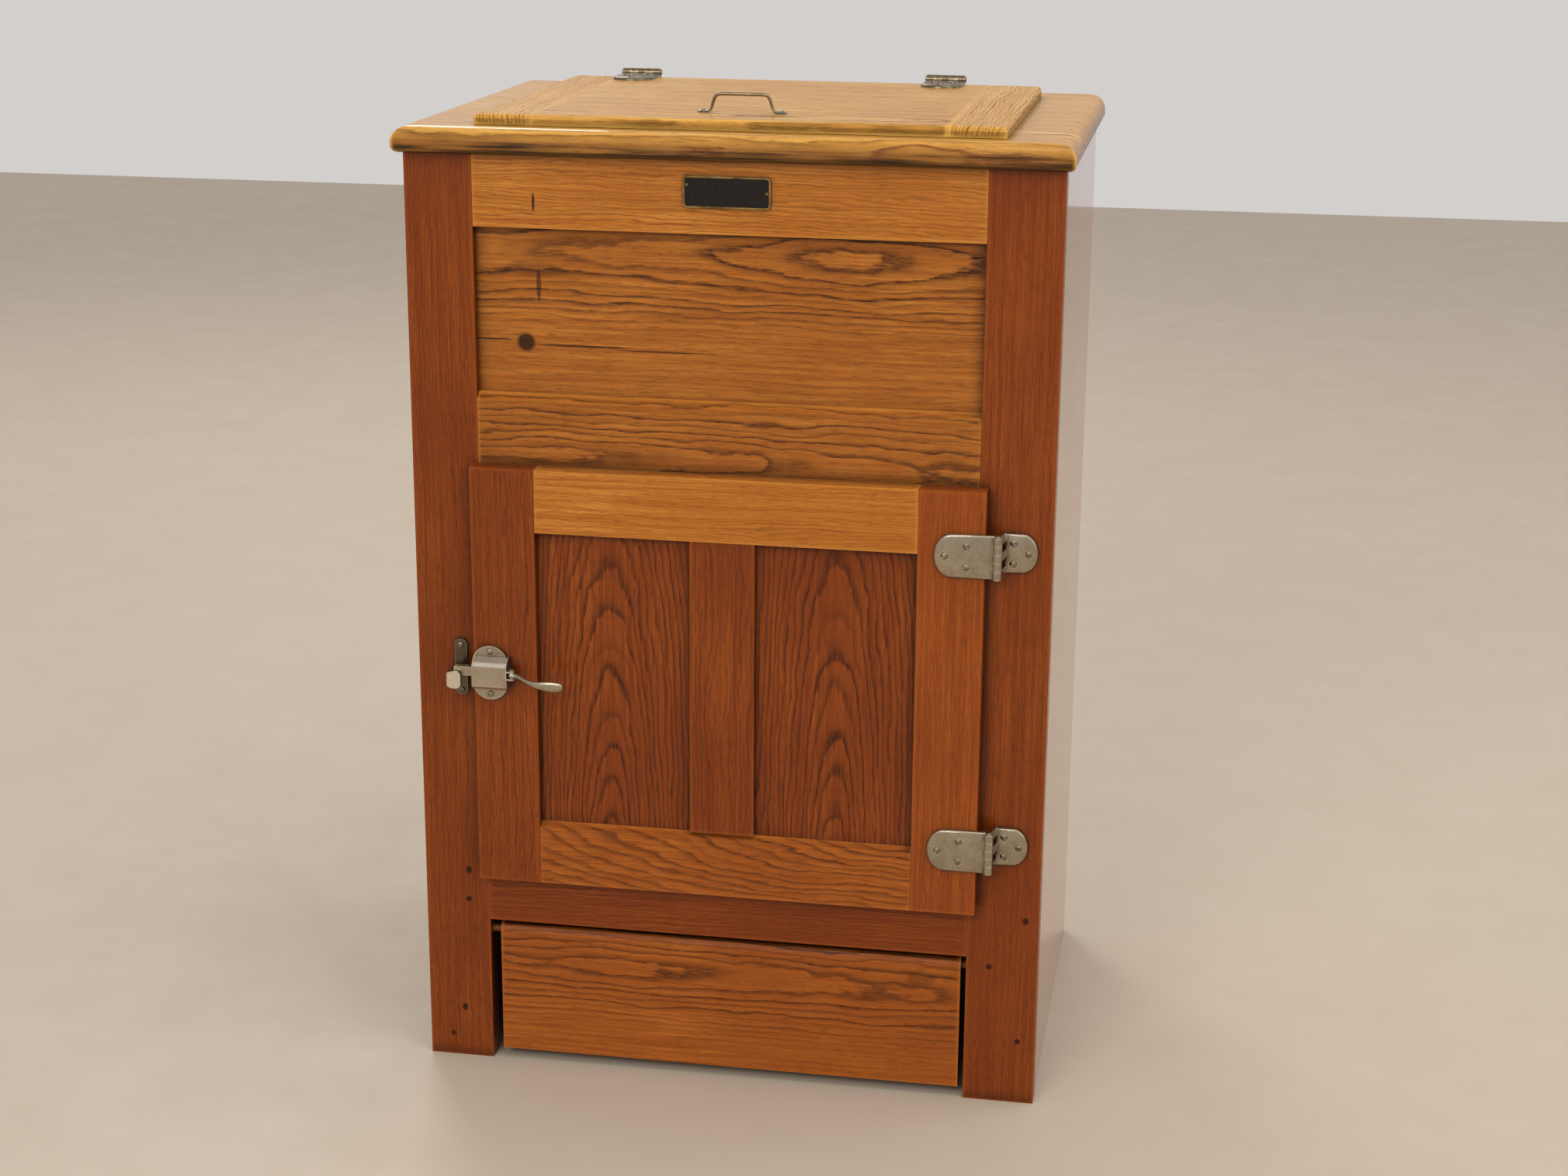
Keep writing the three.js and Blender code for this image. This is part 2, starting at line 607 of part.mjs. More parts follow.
// ---- the latch ----
// The cover: a plate with two round lobes, a hollow box on it and two ears that hold the pin.
function latchCase() {
  const { x: middle, z: centre, wide, tall, thick } = LATCH_PLATE;
  const lobes = rounded(grown([middle, middle], wide), grown([centre, centre], tall), wide - 0.1);
  const back = doorFront - FIT;
  const plate = alongY(lobes, [back - thick, back], 8);
  const { x: [x0, x1], z: [z0, z1], front, wall, roof } = LATCH_BOX;
  // The top is bevelled in two facets and the bottom in one.
  const profile = outline([
    [back, z0],
    [front + 3, z0],
    [front, z0 + 3],
    [front, z1 - 8],
    [front + 3, z1 - 4],
    [front + 7, z1],
    [back, z1],
  ]);
  const { x, y, z, slab, hub, ear } = LATCH;
  const ears = [slab + FIT, -slab - FIT - ear].map((low) =>
    join(
      rod(hub, [z + low, z + low + ear], "z", [x, y], 16),
      box([x1 - 1, x], grown([y, y], hub), [z + low, z + low + ear]),
    ),
  );
  const screws = [-LATCH_PLATE.screw, LATCH_PLATE.screw].map((dz) =>
    rod(3.2, [back - thick - 0.8, back - 2], "y", [middle, centre + dz], 8),
  );
  const hollows = [
    box([x0 + wall, x1 - wall], [front + wall, back + 1], [z0 + 2, z1 - roof]),
    box([x0 - 5, x1 + 0.5], grown(BOLT.y, BOLT.slack), grown(BOLT.z, BOLT.slack)),
    box([x1 - 5, x1 + 0.5], [front + wall, back + 1], grown([z, z], slab + FIT)),
    rod(LATCH.pin + RUNNING, grown([z, z], 20), "z", [x, y], ROUND),
  ];
  const body = join(plate, alongX(profile, [x0, x1]), ...ears, ...screws);
  place("latch_case", NICKEL, cut(body, ...hollows));
}

function latchPin() {
  const { x, y, z, slab, ear, pin } = LATCH;
  const reach = slab + FIT + ear;
  const head = rod(2.2, [z + reach + FIT, z + reach + 1.2], "z", [x, y], 12);
  const shaft = rod(pin, [z - reach - 0.4, z + reach + 0.5], "z", [x, y], ROUND);
  place("latch_pin", NICKEL, join(shaft, head));
}

// The bolt's tail is notched for the lever's arm, wider at the mouth than within.
function latchBolt() {
  const { x, y, z } = BOLT;
  const high = grown([LATCH.z, LATCH.z], LATCH.slab + FIT);
  const from = LATCH.x + ARM_TIP.x - ARM_TIP.radius - 0.7;
  const mouth = box([from, LATCH.x - 2.6], [y[0] - 1, y[0] + 2], high);
  const within = box([from, LATCH.x - 4.6], [y[0] + 1, y[1] + 1], high);
  place("latch_bolt", NICKEL, cut(box(x, y, z), mouth, within));
}

// The lever's flat arm, tapering from the pin to the round tip that moves the bolt.
function leverArm(thick) {
  const { x, y } = LATCH;
  const length = Math.hypot(ARM_TIP.x, ARM_TIP.y);
  const side = 0.8 * ARM_TIP.radius;
  const [du, dv] = [(side * ARM_TIP.y) / length, (-side * ARM_TIP.x) / length];
  const bar = outline([
    [x + du, y + dv],
    [x + ARM_TIP.x + du, y + ARM_TIP.y + dv],
    [x + ARM_TIP.x - du, y + ARM_TIP.y - dv],
    [x - du, y - dv],
  ]);
  const tip = rod(ARM_TIP.radius, thick, "z", [x + ARM_TIP.x, y + ARM_TIP.y], 12);
  return join(inPlan(bar, thick), tip);
}

function latchLever() {
  const { x, y, z, hub, slab, pin } = LATCH;
  const thick = grown([z, z], slab);
  const ball = solid(new THREE.SphereGeometry(hub, 16, 10).translate(x, y, z));
  const slice = box([x - 20, x + hub], [y - 30, y + 30], thick);
  const path = [
    [x + 1, y, z],
    [x + 7, y - 1.5, z - 0.5],
    [x + 15, y - 9, z - 2.6],
    [x + 24, y - 14, z - 4.2],
    [x + 31, y - 14.6, z - 4.6],
  ].map((p) => new THREE.Vector3(...p));
  const stem = wire(2, new THREE.CatmullRomCurve3(path), 10, 8);
  const blade = new THREE.Shape();
  blade.moveTo(x + 25, z - 6);
  blade.bezierCurveTo(x + 31, z - 10, x + 53, z - 11, x + 54, z - 5.5);
  blade.bezierCurveTo(x + 53, z + 0.5, x + 31, z, x + 25, z - 2.6);
  const face = y - PADDLE.reach;
  const paddle = alongY(blade, [face, face + PADDLE.thick], 6);
  const pinHole = rod(pin + RUNNING, grown([z, z], 10), "z", [x, y], ROUND);
  const turning = join(ball.intersect(slice), leverArm(thick), stem, paddle);
  place("latch_lever", NICKEL, cut(turning, pinHole));
}

// A bowed strip in the roof of the box that presses the bolt home.
function latchSpring() {
  const [x0, x1] = [LATCH_BOX.x[0] + 3, LATCH_BOX.x[1] - 6];
  const roof = LATCH_BOX.z[1] - LATCH_BOX.roof - FIT;
  const bow = roof - SPRING - BOLT.z[1] - FIT;
  const count = 8;
  const under = Array.from({ length: count + 1 }, (_, i) => {
    const share = i / count;
    return [x0 + share * (x1 - x0), roof - SPRING - bow * Math.sin(Math.PI * share)];
  });
  const over = under.map(([x, z]) => [x, z + SPRING]).reverse();
  place("latch_spring", BRONZE, alongY(outline([...under, ...over]), grown(BOLT.y, -1)));
}

// The keeper on the case: a plate, a post beside the bolt's end and the lip it slips behind.
function latchStrike() {
  const { x: [x0, x1], z: [z0, z1], front } = STRIKE;
  const plate = alongY(rounded([x0, x1], [z0, z1], 6.1), [-3, -FIT], 6);
  const post = box([x0 + 0.2, x0 + 5], [front + 0.4, -2], [404, 418]);
  const lip = alongY(rounded([x0 + 0.2, x1 + 1.4], [402.5, 419.5], 5), [front, front + 3.8], 5);
  const middle = (x0 + x1) / 2;
  const screws = [z0 + 6, z1 - 6].map((z) => rod(3, [-3.8, -2], "y", [middle, z], 8));
  place("latch_strike", BRONZE, join(plate, post, lip, ...screws));
}

// ---- the nameplate, the kick flap and the drip pan ----
function nameplate() {
  const { x, z, border } = NAMEPLATE;
  const [[x0, x1], [z0, z1]] = [x, z];
  const plate = alongY(rounded(x, z, 4), [-2, -FIT], 4);
  const field = alongY(rounded(grown(x, -border), grown(z, -border), 2.8), [-3, -1.4]);
  const nails = [
    [x0 + 3.6, z1 - 8],
    [x1 - 3.6, (z0 + z1) / 2],
  ].map((spot) => rod(1.2, [-2.2, -0.8], "y", spot, 8));
  place("nameplate", ENAMEL, join(cut(plate, field), ...nails));
}

function kickFlap() {
  const { left, right, low, high, thick, front } = FLAP;
  const r = thick / 2;
  const shape = new THREE.Shape();
  shape.moveTo(front, low);
  shape.lineTo(front + thick, low);
  shape.absarc(front + r, high - r, r, 0, Math.PI);
  const board = alongX(shape, [left, right], 6);
  place("kick_flap", OAK, join(board, flapDowel(FLAP_DOWEL.radius, FLAP_DOWEL.reach)));
}

function dripPan() {
  const { half: reach, front, rear, low, high, rim, wall } = PAN;
  const outer = box([-reach, reach], [front, rear], [low, high]);
  const inner = box(grown([-reach, reach], -wall), grown([front, rear], -wall), [low + wall, 200]);
  const lip = cut(
    box(grown([-reach, reach], rim), [front - rim, rear + rim], [high - 2.5, high]),
    box([-reach + 1, reach - 1], [front + 1, rear - 1], [0, 200]),
  );
  place("drip_pan", ZINC, join(cut(outer, inner), lip));
}

faceFrame();
sideBoards();
carcase();
chambers();
iceRack();
foodShelf();
drain();
topBoard();
lid();
for (const [where, x] of Object.entries(LID_HINGES)) lidHinge(where, x);
door();
doorPlug();
for (const [where, z] of Object.entries(DOOR_HINGES)) doorHinge(where, z);
latchCase();
latchPin();
latchBolt();
latchLever();
latchSpring();
latchStrike();
nameplate();
kickFlap();
dripPan();

const frontMost = LATCH.y - PADDLE.reach;
assembly.position.y = -(frontMost + TOP.rear) / 2;

const icebox = new THREE.Group();
icebox.add(assembly);
export default icebox;
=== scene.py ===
"""A small varnished oak icebox: boards, cast hardware and sheet-metal chambers over the CAD frame.

Metres, +Z up, the front faces -Y. Every piece is placed from the CAD nodes' boxes.
"""

import json
import math
from dataclasses import dataclass

import bmesh
import bpy
from mathutils import Matrix, Vector

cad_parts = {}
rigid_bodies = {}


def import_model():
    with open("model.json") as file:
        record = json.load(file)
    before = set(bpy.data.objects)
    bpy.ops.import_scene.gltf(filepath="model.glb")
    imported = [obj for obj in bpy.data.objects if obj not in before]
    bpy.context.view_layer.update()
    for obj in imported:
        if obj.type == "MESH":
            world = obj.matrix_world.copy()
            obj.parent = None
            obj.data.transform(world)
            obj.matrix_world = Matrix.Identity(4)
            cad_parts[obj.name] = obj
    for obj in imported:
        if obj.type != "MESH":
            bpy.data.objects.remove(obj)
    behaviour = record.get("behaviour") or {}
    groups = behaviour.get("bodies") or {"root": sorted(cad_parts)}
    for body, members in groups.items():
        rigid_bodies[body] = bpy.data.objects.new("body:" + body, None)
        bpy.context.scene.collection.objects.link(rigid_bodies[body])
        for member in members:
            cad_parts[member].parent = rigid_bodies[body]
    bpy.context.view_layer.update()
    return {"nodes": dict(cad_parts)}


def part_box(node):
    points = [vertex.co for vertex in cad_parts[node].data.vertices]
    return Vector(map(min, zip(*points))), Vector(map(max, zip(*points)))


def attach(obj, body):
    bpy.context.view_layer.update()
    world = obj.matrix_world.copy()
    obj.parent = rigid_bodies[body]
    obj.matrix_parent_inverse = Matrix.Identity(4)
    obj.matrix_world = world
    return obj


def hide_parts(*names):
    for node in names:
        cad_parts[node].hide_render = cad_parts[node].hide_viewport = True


for leftover in list(bpy.data.objects):
    bpy.data.objects.remove(leftover)

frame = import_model()
nodes = frame["nodes"]
MM = 0.001


# ---- camera, floor and light ----
CAMERA_AT = (0.4594, -2.5323, 1.2109)
CAMERA_YAW, CAMERA_PITCH, CAMERA_ROLL = (math.radians(a) for a in (9.833, -16.408, 0.4426))
LENS_MM, SENSOR_MM = 60.407, 36.0
FLOOR_HALF = 6.0
BACKDROP = (0.95, 0.92, 0.9, 1)
BACKDROP_STRENGTH = 0.68
MIDDLE = (0, 0, 0.45)
# Each lamp: where it hangs, what it points at, its side in metres, its watts and its tint.
LAMPS = {
    "key": ((-0.8, -3.9, 2.6), MIDDLE, 1.6, 62, (1, 0.97, 0.92)),
    "fill": ((3.0, -3.0, 2.4), MIDDLE, 2.2, 26, (1, 0.97, 0.93)),
    "top": ((0.9, -0.6, 2.9), (0, 0.1, 0.9), 1.6, 18, (1, 0.96, 0.9)),
    "side": ((3.8, 1.2, 2.6), (0.3, 0, 0.5), 2.2, 26, (1, 0.97, 0.93)),
    "back": ((-1.5, 2.9, 3.0), MIDDLE, 1.2, 34, (1, 0.97, 0.93)),
}


def add_camera():
    forward = Vector(
        (
            -math.sin(CAMERA_YAW) * math.cos(CAMERA_PITCH),
            math.cos(CAMERA_YAW) * math.cos(CAMERA_PITCH),
            math.sin(CAMERA_PITCH),
        )
    )
    level = Vector((math.cos(CAMERA_YAW), math.sin(CAMERA_YAW), 0))
    upright = level.cross(forward)
    right = math.cos(CAMERA_ROLL) * level + math.sin(CAMERA_ROLL) * upright
    up = -math.sin(CAMERA_ROLL) * level + math.cos(CAMERA_ROLL) * upright
    data = bpy.data.cameras.new("camera")
    data.lens = LENS_MM
    data.sensor_width = SENSOR_MM
    camera = bpy.data.objects.new("camera", data)
    turn = Matrix((right, up, -forward)).transposed().to_4x4()
    camera.matrix_world = Matrix.Translation(CAMERA_AT) @ turn
    bpy.context.collection.objects.link(camera)
    bpy.context.scene.camera = camera


def add_lamp(name, at, target, size, power, colour):
    data = bpy.data.lights.new(name, "AREA")
    data.size = size
    data.energy = power
    data.color = colour
    lamp = bpy.data.objects.new(name, data)
    aim = (Vector(target) - Vector(at)).to_track_quat("-Z", "Y")
    lamp.matrix_world = Matrix.Translation(at) @ aim.to_matrix().to_4x4()
    bpy.context.collection.objects.link(lamp)


def add_studio():
    world = bpy.data.worlds.new("studio")
    world.use_nodes = True
    backdrop = world.node_tree.nodes["Background"]
    backdrop.inputs["Color"].default_value = BACKDROP
    backdrop.inputs["Strength"].default_value = BACKDROP_STRENGTH
    bpy.context.scene.world = world
    bpy.context.scene.view_settings.view_transform = "Standard"
    for name, lamp in LAMPS.items():
        add_lamp(name, *lamp)


def add_floor():
    mesh = bpy.data.meshes.new("floor")
    corners = [(x * FLOOR_HALF, y * FLOOR_HALF, 0) for x, y in ((-1, -1), (1, -1), (1, 1), (-1, 1))]
    mesh.from_pydata(corners, [], [(0, 1, 2, 3)])
    mesh.materials.append(mottled("floor", rgb(196, 182, 164), rgb(192, 178, 160), 8.0, 0.5, 0.0001))
    floor = bpy.data.objects.new("floor", mesh)
    bpy.context.collection.objects.link(floor)


# ---- node graphs ----
COAT_ROUGHNESS = 0.06


class Graph:
    """Builds one material's nodes; a helper that makes a value returns its output socket.

    Noise scales are cells per metre.
    """

    def __init__(self, name):
        self.material = bpy.data.materials.new(name)
        self.material.use_nodes = True
        self.tree = self.material.node_tree
        self.shader = self.tree.nodes["Principled BSDF"]

    def set(self, socket, value):
        if isinstance(value, bpy.types.NodeSocket):
            self.tree.links.new(value, socket)
        else:
            socket.default_value = value

    def node(self, kind, output=0, inputs=(), **settings):
        made = self.tree.nodes.new(kind)
        for key, value in settings.items():
            setattr(made, key, value)
        for key, value in dict(inputs).items():
            self.set(made.inputs[key], value)
        return made.outputs[output]

    def math(self, operation, *values):
        return self.node("ShaderNodeMath", 0, dict(enumerate(values)), operation=operation)

    def position(self):
        return self.node("ShaderNodeTexCoord", "Object")

    def split(self, vector):
        parts = self.tree.nodes.new("ShaderNodeSeparateXYZ")
        self.set(parts.inputs[0], vector)
        return parts.outputs[0], parts.outputs[1], parts.outputs[2]

    def join(self, x, y, z):
        return self.node("ShaderNodeCombineXYZ", 0, {0: x, 1: y, 2: z})

    def noise(self, vector, scale, detail=2.0, roughness=0.5):
        inputs = {"Vector": vector, "Scale": scale, "Detail": detail, "Roughness": roughness}
        return self.node("ShaderNodeTexNoise", "Fac", inputs)

    def ramp(self, value, stops):
        """Straight lines through the stops (value, level)."""
        made = self.tree.nodes.new("ShaderNodeValToRGB")
        self.set(made.inputs[0], value)
        elements = made.color_ramp.elements
        while len(elements) < len(stops):
            elements.new(0.5)
        for element, (at, level) in zip(elements, stops):
            element.position = at
            element.color = (level, level, level, 1)
        return made.outputs["Color"]

    def mix(self, amount, first, second, blend="MIX"):
        inputs = {0: amount, 6: first, 7: second}
        return self.node("ShaderNodeMix", 2, inputs, data_type="RGBA", blend_type=blend)

    def darken(self, colour, level):
        """The colour at level 1, black at level 0."""
        return self.mix(1.0, colour, self.join(level, level, level), "MULTIPLY")

    def span(self, value, low, high, to_low=0.0, to_high=1.0):
        """Maps low..high onto to_low..to_high and holds the ends."""
        inputs = {0: value, 1: low, 2: high, 3: to_low, 4: to_high}
        return self.node("ShaderNodeMapRange", 0, inputs)

    def crevice(self, distance):
        """1 in open air, towards 0 where surfaces meet."""
        return self.node("ShaderNodeAmbientOcclusion", "AO", {"Distance": distance}, samples=6)

    def edge(self, distance):
        """1 on a flat face, towards 0 near an outer edge."""
        inputs = {"Distance": distance}
        return self.node("ShaderNodeAmbientOcclusion", "AO", inputs, samples=6, inside=True)

    def bump(self, height, strength, distance):
        inputs = {"Height": height, "Strength": strength, "Distance": distance}
        self.set(self.shader.inputs["Normal"], self.node("ShaderNodeBump", 0, inputs))

    def finish(self, colour, roughness, metallic=0.0, coat=0.0, specular=0.5):
        self.set(self.shader.inputs["Base Color"], colour)
        self.set(self.shader.inputs["Roughness"], roughness)
        self.set(self.shader.inputs["Metallic"], metallic)
        self.shader.inputs["Coat Weight"].default_value = coat
        self.shader.inputs["Coat Roughness"].default_value = COAT_ROUGHNESS
        self.shader.inputs["Specular IOR Level"].default_value = specular
        return self.material


def rgb(*parts):
    """A colour given as a screen shade from 0 to 255."""
    linear = [((p / 255 + 0.055) / 1.055) ** 2.4 if p > 10 else p / 255 / 12.92 for p in parts]
    return (*linear, 1)


# ---- wood ----
AXES = {"x": 0, "y": 1, "z": 2}
# The pith wanders sideways in long drifts and in depth in shorter swings: waves per metre along
# and across the board, and how far in metres.
DRIFT_ALONG, DRIFT_ACROSS, DRIFT_REACH = 5.5, 24.0, 0.026
SWING_ALONG, SWING_ACROSS, SWING_REACH = 11.0, 16.0, 0.012
# How much a point's depth in the board counts towards its distance from the pith.
INWARD = 0.6
# Past this distance along the board the rings run straight; a knot pushes them this far aside.
STRAIGHT_AFTER = 0.14
KNOT_BEND = 0.02
# One year's growth: how porous the wood is from its start (0) to its end (1).
YEAR = ((0.0, 0.5), (0.05, 1.0), (0.2, 0.9), (0.36, 0.4), (0.62, 0.08), (0.93, 0.0), (1.0, 0.5))
SOOT = rgb(30, 14, 6)
LOWER_BROWN = rgb(108, 56, 22)
# Each kind of wood: its palest tone, its middle tone and the dark of its pores.
REDDISH = (rgb(150, 74, 24), rgb(122, 54, 14), rgb(52, 20, 4))
RUSSET = (rgb(180, 102, 36), rgb(150, 76, 22), rgb(54, 22, 4))
AUBURN = (rgb(164, 84, 28), rgb(138, 64, 18), rgb(66, 26, 6))
TAWNY = (rgb(188, 118, 46), rgb(156, 88, 28), rgb(56, 25, 5))
GOLDEN = (rgb(204, 134, 56), rgb(172, 100, 30), rgb(88, 44, 10))
HONEY = (rgb(234, 184, 92), rgb(200, 142, 58), rgb(84, 44, 14))
PALE = (rgb(196, 156, 104), rgb(174, 132, 82), rgb(112, 74, 40))


@dataclass
class Cut:
    """How a board was sawn from its log, in metres.

    along, across and face are the axes (0, 1 or 2) of the fibres, of the board's width and of
    its broad face. heart is the point (along, across) that lies nearest the pith, depth how far
    behind the face the pith is there, tilt and bow how that depth changes along the board, ring
    the width of a year's growth and wave how much the pith wanders.
    """

    along: int
    across: int
    face: int
    heart: tuple
    depth: float
    tilt: float
    bow: float
    ring: float
    wave: float


def blot(g, along, across, mark):
    """The mark's strength at its middle, falling to 0 at its rim."""
    at_along, at_across, half_along, half_across, strength = mark
    u = g.math("DIVIDE", g.math("SUBTRACT", along, at_along), half_along)
    v = g.math("DIVIDE", g.math("SUBTRACT", across, at_across), half_across)
    reach = g.math("ADD", g.math("MULTIPLY", u, u), g.math("MULTIPLY", v, v))
    return g.span(reach, 0.55, 1.25, strength, 0.0)


def stretched(g, parts, along_i, along_scale, across_scale):
    """A place in the board, stretched along the grain."""
    scales = [across_scale] * 3
    scales[along_i] = along_scale
    return g.join(*(g.math("MULTIPLY", part, scale) for part, scale in zip(parts, scales)))


def wander(g, along, across, waves_along, waves_across, seed):
    """Noise about zero with its own number of waves per metre along and across the board."""
    far = g.math("MULTIPLY", along, waves_along)
    wide = g.math("MULTIPLY", across, waves_across)
    return g.math("SUBTRACT", g.noise(g.join(far, wide, seed), 1.0, 3.0, 0.6), 0.5)


def ring_radius(g, parts, cut, knots):
    """Distance of a point from the pith, which wanders under the face of the board."""
    along = g.math("SUBTRACT", parts[cut.along], cut.heart[0])
    across = g.math("SUBTRACT", parts[cut.across], cut.heart[1])
    drift = wander(g, along, across, DRIFT_ALONG, DRIFT_ACROSS, 0.0)
    swing = wander(g, along, across, SWING_ALONG, SWING_ACROSS, 3.0)
    shifted = g.math("MULTIPLY_ADD", drift, DRIFT_REACH * cut.wave, across)
    # The bow levels off, so that ovals near the heart give way to straight lines.
    along_square = g.math("MULTIPLY", along, along)
    levelled = g.math("MULTIPLY_ADD", along_square, 1 / STRAIGHT_AFTER**2, 1.0)
    bowed = g.math("DIVIDE", g.math("MULTIPLY", along_square, cut.bow), levelled)
    deep = g.math("ADD", g.math("MULTIPLY_ADD", along, cut.tilt, bowed), cut.depth)
    deep = g.math("MULTIPLY_ADD", swing, SWING_REACH * cut.wave, deep)
    deep = g.math("MULTIPLY_ADD", parts[cut.face], INWARD, deep)
    for knot in knots:
        bend = g.math("MULTIPLY", blot(g, parts[cut.along], parts[cut.across], knot), KNOT_BEND)
        deep = g.math("ADD", deep, bend)
    across_square = g.math("MULTIPLY", shifted, shifted)
    return g.math("SQRT", g.math("MULTIPLY_ADD", deep, deep, across_square))


def year_lines(g, parts, cut, knots, pores, fibres, line, calm):
    """How dark the pores make the wood: a sharp line each year that feathers out, and flecks."""
    years = g.math("DIVIDE", ring_radius(g, parts, cut, knots), cut.ring)
    ragged = g.math("MULTIPLY_ADD", g.math("SUBTRACT", pores, 0.5), 0.3, years)
    ragged = g.math("MULTIPLY_ADD", g.math("SUBTRACT", fibres, 0.5), 0.22, ragged)
    porous = g.ramp(g.math("FRACT", ragged), YEAR)
    year_tone = g.noise(g.join(years, 0.0, 0.0), 0.9, 2.0)
    strong = g.math("MULTIPLY", g.span(year_tone, 0.32, 0.62, 0.3, 1.0), line)
    if calm:
        aside = g.math("ABSOLUTE", g.math("SUBTRACT", parts[cut.across], cut.heart[1]))
        strong = g.math("MULTIPLY", strong, g.span(aside, calm, 1.6 * calm, 1.0, 0.35))
    darkness = g.math("MULTIPLY", porous, strong)
    darkness = g.math("MULTIPLY", darkness, g.span(pores, 0.38, 0.56, 0.45, 1.0))
    fleck = g.math("MULTIPLY", g.span(pores, 0.52, 0.66), 0.5)
    return g.math("MAXIMUM", darkness, fleck)


def blackened(g, parts, cut, colour, height):
    """Varnish below a height: darker brown all over, and black in streaks, more of it lower down."""
    # Darker brown towards the bottom of the board.
    lower_brown_share = g.span(parts[2], height + 3 * MM, height + 13 * MM, 0.7, 0.0)
    colour = g.mix(lower_brown_share, colour, LOWER_BROWN)
    streaks = g.noise(stretched(g, parts, cut.along, 9.0, 240.0), 1.0, 4.0, 0.55)
    lower = g.span(parts[2], height - 6 * MM, height + 6 * MM, 0.16, -0.16)
    black = g.span(g.math("ADD", streaks, lower), 0.46, 0.66, 0.0, 0.9)
    return g.mix(black, colour, SOOT)


def joint_shade_and_edge_wear(g, colour, light, cloud):
    """Painted shade in the joints; pale outer edges, as handling wear and a painted highlight."""
    # Painted shade: darker where surfaces meet.
    joint_shaded = g.darken(colour, g.span(g.crevice(0.016), 0.35, 0.92, 0.12, 1.0))
    # Pale edges: handling wear and a painted highlight.
    worn = g.span(g.edge(0.005), 0.45, 0.85, 0.85, 0.0)
    return g.mix(g.math("MULTIPLY", worn, g.span(cloud, 0.34, 0.6)), joint_shaded, light)


def wood(
    name, cut, marks, knots, tones=REDDISH, line=1.0, calm=None, gloss=0.12, shine=0.14, stain=None,
):
    """Varnished open-grained board.

    Marks and knots are (along, across, half length, half width, strength). line is how strong
    the year lines are and calm the distance across the grain after which they grow faint. gloss
    and shine are the strengths of the varnish's two reflections. stain is the height below
    which the varnish has blackened.
    """
    light, middle, dark = tones
    g = Graph(name)
    parts = g.split(g.position())
    # Pores are short fine strokes, fibres long ones and the cloud a slow change of tone.
    pores = g.noise(stretched(g, parts, cut.along, 75.0, 1150.0), 1.0, 2.0, 0.7)
    fibres = g.noise(stretched(g, parts, cut.along, 7.0, 300.0), 1.0, 4.0, 0.65)
    cloud = g.noise(g.position(), 6.0, 4.0, 0.6)
    darkness = year_lines(g, parts, cut, knots, pores, fibres, line, calm)

    ground = g.mix(g.span(fibres, 0.36, 0.62), light, middle)
    ground = g.mix(g.span(cloud, 0.38, 0.68, 0.0, 0.8), ground, middle)
    colour = g.mix(g.math("MULTIPLY", darkness, 0.95), ground, dark)
    for mark in (*marks, *knots):
        colour = g.mix(blot(g, parts[cut.along], parts[cut.across], mark), colour, SOOT)
    if stain:
        colour = blackened(g, parts, cut, colour, stain)
    # Painted shade in the joints, and pale edges of wear and painted highlight.
    colour = joint_shade_and_edge_wear(g, colour, light, cloud)

    roughness = g.math("MULTIPLY_ADD", darkness, 0.2, g.span(fibres, 0.3, 0.7, 0.24, 0.36))
    g.bump(g.math("SUBTRACT", g.math("MULTIPLY", fibres, 0.25), darkness), 0.35, 0.0004)
    return g.finish(colour, roughness, coat=gloss, specular=shine)


# ---- metals and the rest ----
# Pale metal painted on rims and on the keeper's lip, as wear and as a painted highlight.
RUBBED_AND_HIGHLIGHT = rgb(226, 216, 198)


def cast_metal(name, bright, worn, grime, rim_wear_and_highlight=0.6, rubbed_and_highlit_from=None):
    """Plated castings: bright metal, brassy where worn, with painted shade in the recesses.

    The rim share is how pale the outer edges are painted, as wear and as a painted highlight;
    in front of the given depth (y) the metal is painted pale, as handling wear and a painted highlight.
    """
    g = Graph(name)
    at = g.position()
    # Patches of wear are about a centimetre across, grains about a millimetre.
    patches = g.noise(at, 90.0, 4.0, 0.6)
    grains = g.noise(at, 900.0, 3.0, 0.65)
    body = g.mix(g.span(patches, 0.38, 0.68, 0.0, 0.45), bright, worn)
    body = g.mix(g.span(grains, 0.35, 0.8, 0.0, 0.35), body, grime)
    # Painted highlight with handling wear: pale metal in front of the given depth.
    if rubbed_and_highlit_from is not None:
        pale = g.span(g.split(at)[1], rubbed_and_highlit_from, rubbed_and_highlit_from + 2 * MM, 0.85, 0.0)
        body = g.mix(pale, body, RUBBED_AND_HIGHLIGHT)
    # Painted shade: darker in the recesses and gaps.
    body = g.darken(body, g.span(g.crevice(0.004), 0.35, 0.95, 0.3, 1.0))
    # Pale rims: edge wear and a painted highlight.
    rim = g.span(g.edge(0.0018), 0.5, 0.85, rim_wear_and_highlight, 0.0)
    body = g.mix(rim, body, RUBBED_AND_HIGHLIGHT)
    g.bump(g.math("ADD", g.math("MULTIPLY", patches, 0.6), grains), 0.25, 0.0003)
    return g.finish(body, g.span(patches, 0.3, 0.7, 0.18, 0.36), metallic=0.92)


def bordered_enamel(name, border_face):
    """Black enamel in a raised brass border; border_face is the depth (y) of the brass."""
    g = Graph(name)
    at = g.position()
    cells = g.noise(at, 700.0, 4.0, 0.65)
    cloud = g.noise(at, 60.0, 3.0)
    field = g.mix(g.span(cells, 0.35, 0.75), rgb(20, 17, 15), rgb(44, 38, 32))
    brass = g.mix(g.span(cloud, 0.35, 0.65), rgb(176, 142, 86), rgb(104, 80, 44))
    raised = g.span(g.split(at)[1], border_face + 0.15 * MM, border_face + 0.4 * MM, 1.0, 0.0)
    g.bump(cells, 0.3, 0.0002)
    look = g.mix(raised, field, brass)
    made = g.finish(look, g.span(cloud, 0.3, 0.7, 0.28, 0.42), specular=0.15)
    g.set(g.shader.inputs["Metallic"], raised)
    return made


